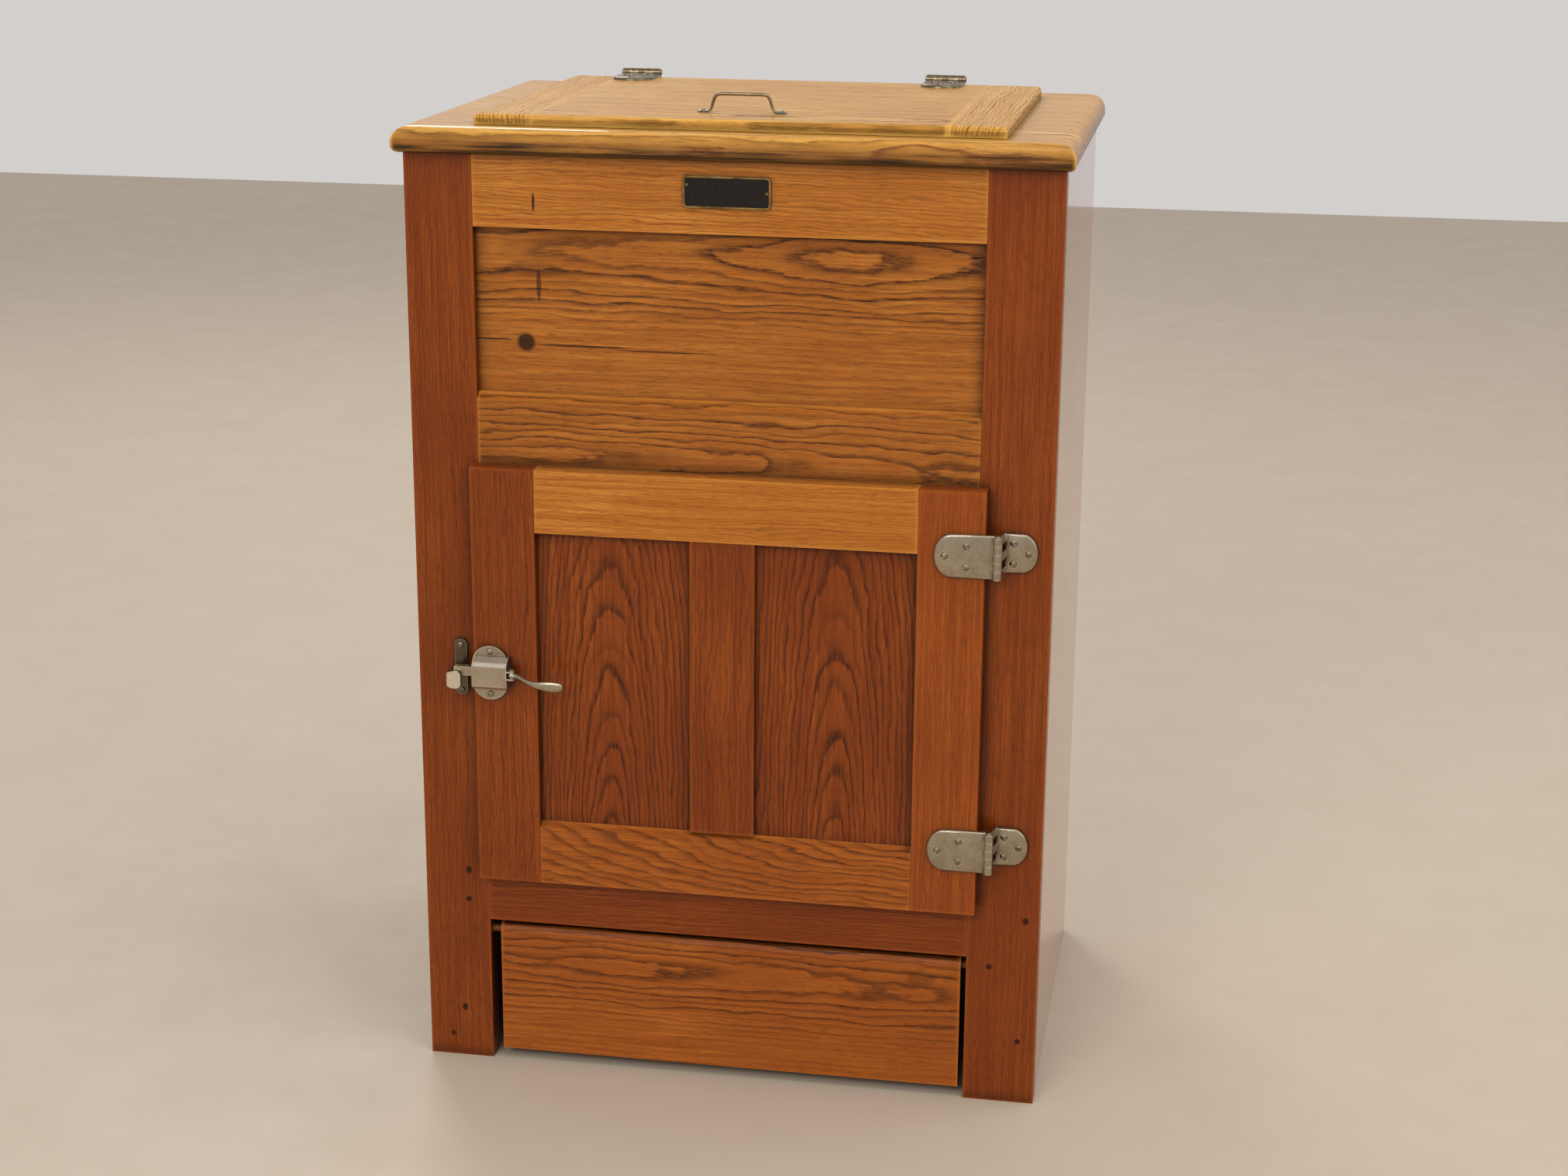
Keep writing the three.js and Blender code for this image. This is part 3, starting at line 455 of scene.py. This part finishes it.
def galvanised(name):
    """Dull sheet zinc with its large crystals, and painted shade in its corners."""
    g = Graph(name)
    at = g.position()
    cells = g.node("ShaderNodeTexVoronoi", "Color", {"Vector": at, "Scale": 70.0})
    tone = g.split(cells)[0]
    cloud = g.noise(at, 14.0, 3.0)
    metal = g.mix(tone, rgb(176, 180, 182), rgb(150, 154, 157))
    metal = g.mix(g.span(cloud, 0.4, 0.75, 0.0, 0.25), metal, rgb(128, 126, 118))
    # Painted shade: darker in the corners and seams.
    metal = g.darken(metal, g.span(g.crevice(0.03), 0.2, 0.9, 0.45, 1.0))
    g.bump(cloud, 0.12, 0.001)
    return g.finish(metal, g.span(tone, 0.0, 1.0, 0.3, 0.42), metallic=0.85)


def mottled(name, light, dark, scale, roughness, depth):
    """Cork, felt and the floor: a mottled ground with a bump of the given depth."""
    g = Graph(name)
    at = g.position()
    cells = g.noise(at, scale, 4.0, 0.65)
    cloud = g.noise(at, scale / 12, 2.0)
    amount = g.math("MULTIPLY_ADD", g.math("SUBTRACT", cloud, 0.5), 0.6, g.span(cells, 0.3, 0.7))
    g.bump(cells, 0.4, depth)
    return g.finish(g.mix(amount, light, dark), g.span(cells, 0.3, 0.7, roughness, roughness + 0.12))


STEEL = cast_metal("steel", rgb(126, 110, 84), rgb(84, 66, 44), rgb(30, 22, 15), rim_wear_and_highlight=0.15)
NICKEL = cast_metal("nickel", rgb(176, 164, 144), rgb(132, 110, 78), rgb(62, 50, 34))
BRONZE = cast_metal("bronze", rgb(122, 108, 80), rgb(84, 68, 44), rgb(34, 26, 17), rim_wear_and_highlight=0.25)
ZINC = galvanised("zinc")
CORK = mottled("cork", rgb(150, 112, 70), rgb(96, 68, 40), 260.0, 0.85, 0.0008)
FELT = mottled("felt", rgb(84, 74, 62), rgb(52, 45, 38), 900.0, 0.9, 0.0005)


# ---- dressing the CAD nodes ----
# An edge that turns more than this is crisp.
CRISP = math.radians(30)


def dress(node, material):
    mesh = nodes[node].data
    mesh.materials.clear()
    mesh.materials.append(material)


def soften(obj, width):
    """Rounds every crisp edge a little, as a plane or sandpaper does."""
    bevel = obj.modifiers.new("soften", "BEVEL")
    bevel.width = width
    bevel.segments = 3
    bevel.limit_method = "ANGLE"
    bevel.angle_limit = CRISP
    bevel.harden_normals = True
    bevel.use_clamp_overlap = True
    for polygon in obj.data.polygons:
        polygon.use_smooth = True


def dress_linings():
    """The sheet metal, the cork behind it and the door's felt."""
    for node in (
        "ice_chamber_liner", "food_chamber_liner", "food_shelf", "drain_pipe", "drain_trap",
        "door_liner", "drip_pan",
    ):
        dress(node, ZINC)
    for node in ("case_insulation", "door_insulation"):
        dress(node, CORK)
    dress("door_gasket", FELT)


def dress_nameplate():
    brass_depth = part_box("nameplate")[0].y + 0.2 * MM
    dress("nameplate", bordered_enamel("enamel", brass_depth))
    soften(nodes["nameplate"], 0.3 * MM)


# ---- the boards ----
def board(
    node, grain, face, heart, depth, tilt, bow=0.0, ring=4.5, wave=1.0, round_mm=1.2, marks=(),
    knots=(), **look,
):
    """Dresses one CAD board.

    grain is the axis of the fibres and face the one the broad face looks along. heart is
    (along, across), as shares of the board's own box; depth is in metres and ring in
    millimetres. Marks and knots are placed in millimetres from the board's lowest corner.
    """
    low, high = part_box(node)
    size = high - low
    along, facing = AXES[grain], AXES[face]
    across = 3 - along - facing
    point = (low[along] + heart[0] * size[along], low[across] + heart[1] * size[across])
    behind = depth - INWARD * low[facing]
    cut = Cut(along, across, facing, point, behind, tilt, bow, ring * MM, wave)

    def placed(spots):
        return [
            (low[along] + u * MM, low[across] + v * MM, du * MM, dv * MM, strength)
            for u, v, du, dv, strength in spots
        ]

    dress(node, wood(node, cut, placed(marks), placed(knots), **look))
    soften(nodes[node], round_mm * MM)


def front_boards():
    """The face frame's quartered stiles, and its flat-sawn rails, panel and flap."""
    board(
        "left_stile", "z", "y", (0.5, -2.2), depth=0.03, tilt=0.01, ring=3.2, line=0.6,
        marks=((202, 44, 4, 3, 0.9), (171, 43, 3, 3, 0.9), (53, 36, 4, 3, 0.9), (23, 23, 3, 3, 0.8)),
    )
    board(
        "right_stile", "z", "y", (0.5, 3.4), depth=0.03, tilt=-0.012, ring=3.0, line=0.5,
        marks=((192, 56, 4, 3, 0.9), (142, 22, 3, 3, 0.9), (65, 52, 3, 3, 0.9)),
    )
    board(
        "top_rail", "x", "y", (0.3, -2.4), depth=0.02, tilt=0.1, ring=3.6, tones=GOLDEN, line=0.8,
        marks=((58, 24, 1.4, 9, 0.9),),
    )
    board(
        "mid_rail", "x", "y", (0.2, 0.3), depth=0.006, tilt=0.035, bow=0.05, ring=6.6,
        tones=TAWNY, wave=1.2, line=1.1,
    )
    crack = ((20, 58, 24, 0.9, 0.9), (110, 54, 48, 0.9, 0.9), (190, 51.5, 48, 0.8, 0.8))
    board(
        "upper_panel", "x", "y", (0.73, 0.83), depth=0.018, tilt=0.0, bow=0.85, ring=6.2,
        tones=TAWNY, line=1.2, calm=48 * MM,
        knots=((55, 56, 9, 9, 0.9),),
        marks=(*crack, (68, 110, 2.4, 15, 0.7), (62, 125, 26, 8, 0.3)),
    )
    board("lower_rail", "x", "y", (0.1, 2.4), depth=0.04, tilt=0.04, ring=3.6, line=0.7)
    board(
        "kick_flap", "x", "y", (0.3, 0.72), depth=0.012, tilt=0.01, bow=0.3, ring=6.6,
        tones=RUSSET, calm=40 * MM,
        marks=((440, 112, 14, 8, 0.35),),
    )


def side_boards():
    """The case's sides, which are glossier than its front."""
    for side in ("left", "right"):
        for place, heart, tilt, ring in (
            ("front", (0.3, 0.5), 0.05, 5.5),
            ("rear", (0.7, 0.3), -0.05, 5.2),
        ):
            board(
                f"{side}_side_{place}_board", "z", "x", heart, depth=0.02, tilt=tilt, ring=ring,
                gloss=1.0, tones=RUSSET,
            )


def pine_boards():
    """The pale softwood of the back and the inside."""
    for node, grain, face, heart, ring in (
        ("back_panel", "z", "y", (0.3, 0.45), 7.0),
        ("bottom_board", "x", "z", (0.3, 0.4), 7.0),
        ("door_jamb", "z", "y", (0.3, 0.4), 6.0),
        ("ice_rack", "x", "z", (0.3, 0.4), 6.0),
        ("lid_liner", "x", "z", (0.3, 0.4), 6.0),
    ):
        board(node, grain, face, heart, depth=0.05, tilt=0.05, ring=ring, tones=PALE)


def top_boards():
    """The moulded top, whose lower edge has blackened, and the lid between its two end boards."""
    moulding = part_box("top_board")[0].z + 9 * MM
    board(
        "top_board", "x", "z", (0.95, 0.2), depth=0.012, tilt=0.05, bow=0.1, ring=7.0,
        tones=HONEY, round_mm=0.6, line=1.15, gloss=0.3, shine=0.05, stain=moulding,
    )
    board(
        "lid_field", "x", "z", (0.4, 0.1), depth=0.008, tilt=0.04, bow=0.06, ring=8.0,
        tones=HONEY, round_mm=1.0, line=1.15, gloss=0.15, shine=0.05,
    )
    for node, heart in (("lid_left_end", (0.5, -1.5)), ("lid_right_end", (0.5, 2.0))):
        board(
            node, "y", "z", heart, depth=0.03, tilt=0.05, ring=3.6, tones=HONEY, round_mm=1.0,
            shine=0.05,
        )


def door_boards():
    """The door's frame, its mullion and its two flat-sawn panels."""
    board(
        "door_left_stile", "z", "y", (0.4, 2.2), depth=0.03, tilt=0.02, ring=3.6, line=0.7,
        round_mm=2.4, wave=1.2,
    )
    board(
        "door_right_stile", "z", "y", (0.4, -2.6), depth=0.03, tilt=0.015, ring=3.0, line=0.5,
        tones=AUBURN, round_mm=2.4,
    )
    board(
        "door_top_rail", "x", "y", (0.4, 2.6), depth=0.02, tilt=0.02, ring=3.0, tones=GOLDEN,
        line=0.6, round_mm=2.0,
    )
    board(
        "door_bottom_rail", "x", "y", (1.0, 1.1), depth=0.002, tilt=0.2, ring=6.4, tones=RUSSET,
        wave=1.3,
    )
    board("door_mullion", "z", "y", (0.3, 1.6), depth=0.03, tilt=0.04, ring=4.6, line=0.7, wave=1.3)
    board(
        "door_left_panel", "z", "y", (0.0, 0.48), depth=0.008, tilt=0.12, bow=0.2, ring=4.8,
        wave=0.9, line=1.1,
    )
    board(
        "door_right_panel", "z", "y", (0.0, 0.5), depth=0.006, tilt=0.11, bow=0.2, ring=5.0,
        wave=0.9, line=1.1,
    )


# ---- small solids made by mesh code ----
# Mesh edges that turn more than this are shaded as corners.
CORNER = math.radians(40)
# Turns a solid that stands on the XY plane to stand on a wall and look towards -Y.
TO_FRONT = Matrix(((1, 0, 0, 0), (0, 0, -1, 0), (0, 1, 0, 0), (0, 0, 0, 1)))


def new_piece(name, body, material, bm):
    bmesh.ops.recalc_face_normals(bm, faces=bm.faces)
    mesh = bpy.data.meshes.new(name)
    bm.to_mesh(mesh)
    bm.free()
    for polygon in mesh.polygons:
        polygon.use_smooth = True
    mesh.set_sharp_from_angle(angle=CORNER)
    mesh.materials.append(material)
    obj = bpy.data.objects.new(name, mesh)
    bpy.context.collection.objects.link(obj)
    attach(obj, body)
    return obj


def bridge(bm, lower, upper):
    """A band of faces between two rings; a ring of one corner is a tip."""
    count = max(len(lower), len(upper))
    for i in range(count):
        j = (i + 1) % count
        if len(lower) == 1:
            bm.faces.new((lower[0], upper[j], upper[i]))
        elif len(upper) == 1:
            bm.faces.new((lower[i], lower[j], upper[0]))
        else:
            bm.faces.new((lower[i], lower[j], upper[j], upper[i]))


def stack(bm, loops):
    """A closed solid from a stack of rings."""
    for lower, upper in zip(loops, loops[1:]):
        bridge(bm, lower, upper)
    bm.faces.new(loops[0])
    bm.faces.new(loops[-1])


def plate(bm, outline, bottom, top, edge, turn):
    """A flat casting drawn in the plane of its outline, with a rounded rim."""
    count = len(outline)

    def inset(amount):
        shrunk = []
        for i in range(count):
            before, here, after = (Vector(outline[(i + k) % count]) for k in (-1, 0, 1))
            tangent = (after - before).normalized()
            inward = Vector((-tangent.y, tangent.x))
            shrunk.append(here + inward * amount)
        return shrunk

    rings = [(0.0, bottom), (0.0, top - edge)]
    for i in range(1, 4):
        angle = i * math.pi / 6
        rings.append((edge * (1 - math.cos(angle)), top - edge + edge * math.sin(angle)))
    loops = []
    for amount, height in rings:
        loops.append([bm.verts.new(turn @ Vector((p.x, p.y, height))) for p in inset(amount)])
    stack(bm, loops)


def turned(bm, profile, turn, steps=28):
    """A solid of revolution round the local Z axis; profile is (radius, height) in order."""
    loops = []
    for radius, height in profile:
        if radius == 0:
            loops.append([bm.verts.new(turn @ Vector((0, 0, height)))])
            continue
        ring = []
        for i in range(steps):
            angle = 2 * math.pi * i / steps
            spot = Vector((radius * math.cos(angle), radius * math.sin(angle), height))
            ring.append(bm.verts.new(turn @ spot))
        loops.append(ring)
    for lower, upper in zip(loops, loops[1:]):
        bridge(bm, lower, upper)


def screw(bm, turn, radius, slot_turn):
    """A slotted round-headed screw standing on the local XY plane and let a little into it."""
    rise = radius * 0.5
    slot = radius * 0.17
    steps = 20
    cut = turn @ Matrix.Rotation(slot_turn, 4, "Z")
    # The rows of the dome stop short of its axis, so its crown stays broad.
    dome = [(radius, -rise * 0.6)]
    for share in (0.0, 0.5, 0.85, 1.0):
        climb = share * math.pi / 2
        dome.append((radius * math.cos(climb * 0.82), rise * math.sin(climb)))
    for side in (-1, 1):
        # Each half of the head is a dome cut straight along the slot.
        rows = []
        for reach, height in dome:
            span = math.acos(min(1.0, slot / max(reach, slot)))
            row = []
            for i in range(steps + 1):
                angle = -span + 2 * span * i / steps
                spot = Vector((side * reach * math.cos(angle), reach * math.sin(angle), height))
                row.append(bm.verts.new(cut @ spot))
            rows.append(row)
        stack(bm, rows)


def screw_heads(name, body, spots, radius, first_turn, turn_each):
    """Round-headed screws facing the front, each slot turned further than the last."""
    bm = bmesh.new()
    for i, spot in enumerate(spots):
        screw(bm, Matrix.Translation(spot) @ TO_FRONT, radius, first_turn + turn_each * i)
    new_piece(name, body, STEEL, bm)


# ---- hinges ----
BARREL = 4.3 * MM
PIN = 2.0 * MM
PIN_PLAY = 0.05 * MM
# How far the pin's box reaches past the barrel at each end.
PIN_END = 2.8 * MM
PLATE = 3.7 * MM
PLATE_RIM = 2.2 * MM
HINGE_SCREW = 3.7 * MM
KNUCKLES = 5
KNUCKLE_GAP = 0.2 * MM
KNUCKLE_EDGE = 0.12 * MM
# Each leaf: half its width along the pin, the knuckles it owns and where its plate starts.
MOVING_LEAF = {"reach": 20.75 * MM, "owned": (1, 3), "start": 3.0 * MM}
FIXED_LEAF = {"reach": 18.75 * MM, "owned": (0, 2, 4), "start": 4.5 * MM}


def plate_outline(left, right, reach):
    """A straight end at the pin and a rounded far end, counter-clockwise."""
    bulge = reach * 0.78
    steps = 14
    points = [(left, -reach)]
    for i in range(steps + 1):
        angle = -math.pi / 2 + math.pi * i / steps
        points.append((right - bulge + bulge * math.cos(angle), reach * math.sin(angle)))
    points.append((left, reach))
    return points


def knuckle_ends(half_length, owned):
    """Where each of a leaf's knuckles starts and ends along the pin."""
    length = 2 * half_length / KNUCKLES
    for i in owned:
        low = -half_length + i * length + KNUCKLE_GAP / 2
        yield low, low + length - KNUCKLE_GAP


def knuckle(bm, turn, low, high):
    profile = [
        (PIN, low),
        (BARREL - KNUCKLE_EDGE, low),
        (BARREL, low + KNUCKLE_EDGE),
        (BARREL, high - KNUCKLE_EDGE),
        (BARREL - KNUCKLE_EDGE, high),
        (PIN, high),
        (PIN, low),
    ]
    turned(bm, profile, turn)


def knuckle_arm(bm, turn, low, high, start, front, back):
    """The strap from the barrel's wall to the plate's edge, which may lie behind the barrel."""
    barrel_back = BARREL * 0.85 if back > BARREL else back
    barrel_front = BARREL * (-0.75 if front < 0 else -0.1)
    corners = [(BARREL * 0.2, barrel_back), (start, back), (start, front), (BARREL * 0.6, barrel_front)]
    stack(bm, [[bm.verts.new(turn @ Vector((x, y, z))) for x, y in corners] for z in (low, high)])


def hinge_leaf(node, body, metal, turn, half_length, back, end, screws, reach, owned, start):
    """One leaf in the hinge's own frame: the pin along Z, the plate towards +X, its back at y."""
    front = back - PLATE
    # The plate is drawn in X and Z; its face looks along -Y.
    lay = turn @ TO_FRONT
    bm = bmesh.new()
    plate(bm, plate_outline(start, end, reach), -back, -front, PLATE_RIM, lay)
    for low, high in knuckle_ends(half_length, owned):
        knuckle_arm(bm, turn, low, high, start + 1.5 * MM, front + 0.4 * MM, back)
        knuckle(bm, turn, low, high)
    leaf = new_piece(f"look_{node}", body, metal, bm)
    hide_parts(node)

    bm = bmesh.new()
    for i, (x, z) in enumerate(screws):
        screw(bm, lay @ Matrix.Translation((x, z, -front)), HINGE_SCREW, 0.7 + 1.9 * i)
    new_piece(f"look_{node}_screws", body, STEEL, bm)


def hinge_pin(node, metal, turn, half_length):
    """A pin with a small button on each end."""
    head = PIN + 1.0 * MM
    cap = half_length + 0.3 * MM
    button = [(head, cap), (head, cap + 0.4 * MM), (head * 0.7, cap + 1.0 * MM), (0, cap + 1.2 * MM)]
    upper = [(PIN - PIN_PLAY, cap), *button]
    lower = [(radius, -height) for radius, height in reversed(upper)]
    bm = bmesh.new()
    turned(bm, lower + upper, turn, 20)
    pin = new_piece(f"look_{node}", "case", metal, bm)
    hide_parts(node)


def moving_screws(end):
    """One screw near the round end and two nearer the pin."""
    return (end - 10 * MM, 0), (end - 30 * MM, 10 * MM), (end - 30 * MM, -10 * MM)


def fixed_screws(aside, far):
    """Two screws near the pin and one further out."""
    return (13 * MM, aside), (13 * MM, -aside), (far, 0)


def door_hinge(where):
    low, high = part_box(f"{where}_hinge_pin")
    at = (low + high) / 2
    half_length = (high.z - low.z) / 2 - PIN_END
    door_low, door_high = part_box(f"{where}_hinge_door_leaf")
    frame_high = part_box(f"{where}_hinge_frame_leaf")[1]
    upright = Matrix.Translation(at)
    mirrored = upright @ Matrix.Scale(-1, 4, (1, 0, 0))
    to_door = at.x - door_low.x
    hinge_leaf(
        f"{where}_hinge_door_leaf", "door", NICKEL, mirrored, half_length, door_high.y - at.y,
        to_door, moving_screws(to_door), **MOVING_LEAF,
    )
    hinge_leaf(
        f"{where}_hinge_frame_leaf", "case", NICKEL, upright, half_length, frame_high.y - at.y,
        frame_high.x - at.x, fixed_screws(10 * MM, 27 * MM), **FIXED_LEAF,
    )
    hinge_pin(f"{where}_hinge_pin", NICKEL, upright, half_length)


def lid_hinge(where):
    low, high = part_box(f"{where}_lid_hinge_pin")
    at = (low + high) / 2
    half_length = (high.x - low.x) / 2 - PIN_END
    lid_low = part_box(f"{where}_lid_hinge_lid_leaf")[0]
    rear_low, rear_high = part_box(f"{where}_lid_hinge_board_leaf")

    def lying(towards):
        columns = (Vector((0, towards, 0)), Vector((0, 0, -1)), Vector((-towards, 0, 0)))
        return Matrix.Translation(at) @ Matrix(columns).transposed().to_4x4()

    to_lid = at.y - lid_low.y
    hinge_leaf(
        f"{where}_lid_hinge_lid_leaf", "lid", BRONZE, lying(-1), half_length, at.z - lid_low.z,
        to_lid, moving_screws(to_lid), **MOVING_LEAF,
    )
    hinge_leaf(
        f"{where}_lid_hinge_board_leaf", "case", BRONZE, lying(1), half_length, at.z - rear_low.z,
        rear_high.y - at.y, fixed_screws(9 * MM, 20 * MM), **FIXED_LEAF,
    )
    hinge_pin(f"{where}_lid_hinge_pin", BRONZE, lying(1), half_length)


# ---- latch, pull and nails ----
def swept(bm, stations, wide_axis, sides=12):
    """A bar through the stations (centre, half width, half thickness), wide along wide_axis."""
    count = len(stations)
    loops = []
    for i, (centre, half_width, half_thick) in enumerate(stations):
        before = stations[max(i - 1, 0)][0]
        after = stations[min(i + 1, count - 1)][0]
        tangent = (after - before).normalized()
        thin = tangent.cross(wide_axis).normalized()
        wide = thin.cross(tangent)
        loop = []
        for k in range(sides):
            angle = 2 * math.pi * k / sides
            offset = wide * half_width * math.cos(angle) + thin * half_thick * math.sin(angle)
            loop.append(bm.verts.new(centre + offset))
        loops.append(loop)
    stack(bm, loops)


def subdivide(obj):
    smooth = obj.modifiers.new("smooth", "SUBSURF")
    smooth.levels = 2
    smooth.render_levels = 2


# Half the height of the lever's hub, whose top is the lever's highest point.
HUB_HALF = 2.6 * MM


def lever_handle(at, low, high):
    """A curved stem that widens into a leaf-shaped paddle, inside the box of the CAD lever."""
    reach = high.x - at.x
    face = low.y + 2 * MM - at.y
    drop = low.z + 5 * MM - at.z
    # Shares of the lever's length, its outward step and its drop, then half sizes in mm.
    shape = (
        (0.00, 0.00, 0.00, 2.5, 2.6),
        (0.07, 0.02, 0.05, 2.4, 2.4),
        (0.15, 0.15, 0.12, 2.0, 2.0),
        (0.26, 0.48, 0.35, 1.8, 1.8),
        (0.38, 0.80, 0.60, 2.0, 1.8),
        (0.50, 0.96, 0.80, 3.0, 1.8),
        (0.64, 1.00, 0.90, 4.4, 1.9),
        (0.80, 1.00, 0.96, 5.1, 1.9),
        (0.92, 1.00, 1.00, 4.7, 1.7),
        (0.985, 0.99, 1.00, 3.0, 1.3),
        (1.00, 0.98, 1.00, 1.2, 0.8),
    )
    stations = [
        (at + Vector((u * reach, v * face, w * drop)), wide * MM, thick * MM)
        for u, v, w, wide, thick in shape
    ]
    bm = bmesh.new()
    swept(bm, stations, Vector((0, 0, 1)), 16)
    handle = new_piece("look_latch_lever", "lever", NICKEL, bm)
    subdivide(handle)
    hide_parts("latch_lever")


def lever_hub(at, low):
    """A ball with flat ends on the pin, and the arm that reaches into the box."""
    ball = 3.5 * MM
    profile = [(0, -HUB_HALF)]
    for i in range(1, 12):
        angle = math.pi * (i / 12 - 0.5)
        height = max(-HUB_HALF, min(HUB_HALF, ball * math.sin(angle)))
        profile.append((ball * math.cos(angle), height))
    profile.append((0, HUB_HALF))
    bm = bmesh.new()
    turned(bm, profile, Matrix.Translation(at), 24)
    # The arm ends just inside the lever's box, behind the pin.
    tip = Vector((low.x + 1.5 * MM, at.y + 6 * MM, at.z))
    half_width, half_thick = 2.4 * MM, 1.3 * MM
    arm = [
        (at, half_width, half_thick),
        (at.lerp(tip, 0.5), half_width, half_thick),
        (tip, half_width, half_thick + 0.1 * MM),
    ]
    swept(bm, arm, Vector((0, 0, 1)))
    new_piece("look_lever_hub", "lever", NICKEL, bm)


def latch_lever():
    pin_low, pin_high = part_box("latch_pin")
    low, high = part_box("latch_lever")
    at = (pin_low + pin_high) / 2
    at.z = high.z - HUB_HALF
    lever_handle(at, low, high)
    lever_hub(at, low)


def back_nails():
    """Nails round the edge of the back panel, a hand's width apart."""
    low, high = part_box("back_panel")
    inset = 9 * MM
    left, right = low.x + inset, high.x - inset
    foot, top = low.z + inset, high.z - inset
    across, upward = 6, 9
    spots = []
    for i in range(upward + 1):
        z = foot + (top - foot) * i / upward
        spots += [(left, z), (right, z)]
    for i in range(1, across):
        x = left + (right - left) * i / across
        spots += [(x, foot), (x, top)]
    rearward = Matrix.Rotation(-math.pi / 2, 4, "X")
    head = [(0, -0.5), (2.4, -0.5), (2.4, 0.1), (1.9, 0.4), (1.0, 0.55), (0, 0.6)]
    profile = [(radius * MM, height * MM) for radius, height in head]
    bm = bmesh.new()
    for x, z in spots:
        turned(bm, profile, Matrix.Translation((x, high.y, z)) @ rearward, 12)
    new_piece("back_nails", "case", STEEL, bm)


def lid_pull():
    """A bent wire with its two ends flattened into feet, each held by a screw."""
    wire = cast_metal("pull", rgb(134, 118, 92), rgb(92, 72, 46), rgb(38, 28, 18), rim_wear_and_highlight=0.1)
    low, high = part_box("lid_pull")
    y = (low.y + high.y) / 2
    base = low.z + 0.9 * MM
    top = high.z - 1.6 * MM
    # Distance in from the foot's outer end, height as a share, then half sizes in mm.
    shape = (
        (0.0, 0.0, 0.8, 0.4),
        (1.2, 0.0, 2.8, 0.8),
        (4.5, 0.0, 4.0, 0.9),
        (10.0, 0.0, 3.8, 0.9),
        (12.6, 0.03, 2.4, 1.2),
        (14.2, 0.3, 1.7, 1.5),
        (15.6, 0.65, 1.6, 1.6),
        (17.6, 0.9, 1.6, 1.6),
        (21.0, 1.0, 1.6, 1.6),
        (28.0, 1.0, 1.6, 1.6),
        (36.0, 1.0, 1.6, 1.6),
    )
    near = [
        (Vector((low.x + u * MM, y, base + v * (top - base))), wide * MM, thick * MM)
        for u, v, wide, thick in shape
    ]
    far = [
        (Vector((low.x + high.x - centre.x, y, centre.z)), wide, thick)
        for centre, wide, thick in reversed(near)
    ]
    bm = bmesh.new()
    swept(bm, near + far, Vector((0, 1, 0)))
    pull = new_piece("look_lid_pull", "lid", wire, bm)
    subdivide(pull)
    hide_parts("lid_pull")

    screw_in, screw_up, radius = 5.5 * MM, 0.7 * MM, 2.4 * MM
    bm = bmesh.new()
    for x in (low.x + screw_in, high.x - screw_in):
        screw(bm, Matrix.Translation((x, y, base + screw_up)), radius, 0.9)
    new_piece("look_pull_screws", "lid", STEEL, bm)


def latch_screws():
    """One screw in each lobe of the latch's plate and two in the keeper's."""
    low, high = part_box("latch_case")
    lobe_x, lobe_face, lobe_in = low.x + 17.3 * MM, high.y - 3.1 * MM, 5.6 * MM
    spots = [(lobe_x, lobe_face, z) for z in (low.z + lobe_in, high.z - lobe_in)]
    screw_heads("look_latch_screws", "door", spots, 3.5 * MM, 0.5, 1.3)
    low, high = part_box("latch_strike")
    plate_x, plate_face, plate_in = low.x + 6.2 * MM, high.y - 2.8 * MM, 6 * MM
    spots = [(plate_x, plate_face, z) for z in (low.z + plate_in, high.z - plate_in)]
    screw_heads("look_strike_screws", "case", spots, 3.3 * MM, 0.5, 1.3)


def latch_hardware():
    """The latch: its rounded castings, the lever, a keeper in painted shade with a rubbed, highlit lip,
    and the screws.
    """
    rounding_mm = {
        "latch_case": 0.4,
        "latch_bolt": 0.8,
        "latch_pin": 0.3,
        "latch_strike": 0.7,
        "latch_spring": 0.15,
    }
    for node, width in rounding_mm.items():
        soften(nodes[node], width * MM)
        dress(node, NICKEL)
    dress("latch_spring", BRONZE)
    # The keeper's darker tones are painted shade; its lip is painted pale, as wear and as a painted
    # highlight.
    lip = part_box("latch_strike")[0].y + 2 * MM
    dress(
        "latch_strike",
        cast_metal(
            "strike", rgb(104, 92, 72), rgb(70, 56, 38), rgb(30, 22, 14), rim_wear_and_highlight=0.2, rubbed_and_highlit_from=lip
        ),
    )
    latch_lever()
    latch_screws()


# ---- the studio, the boards and the metal ----
add_camera()
add_studio()
add_floor()
front_boards()
side_boards()
pine_boards()
top_boards()
door_boards()
dress_linings()
dress_nameplate()
latch_hardware()
back_nails()
lid_pull()
for level in ("upper", "lower"):
    door_hinge(level)
for side in ("left", "right"):
    lid_hinge(side)

bpy.context.view_layer.update()
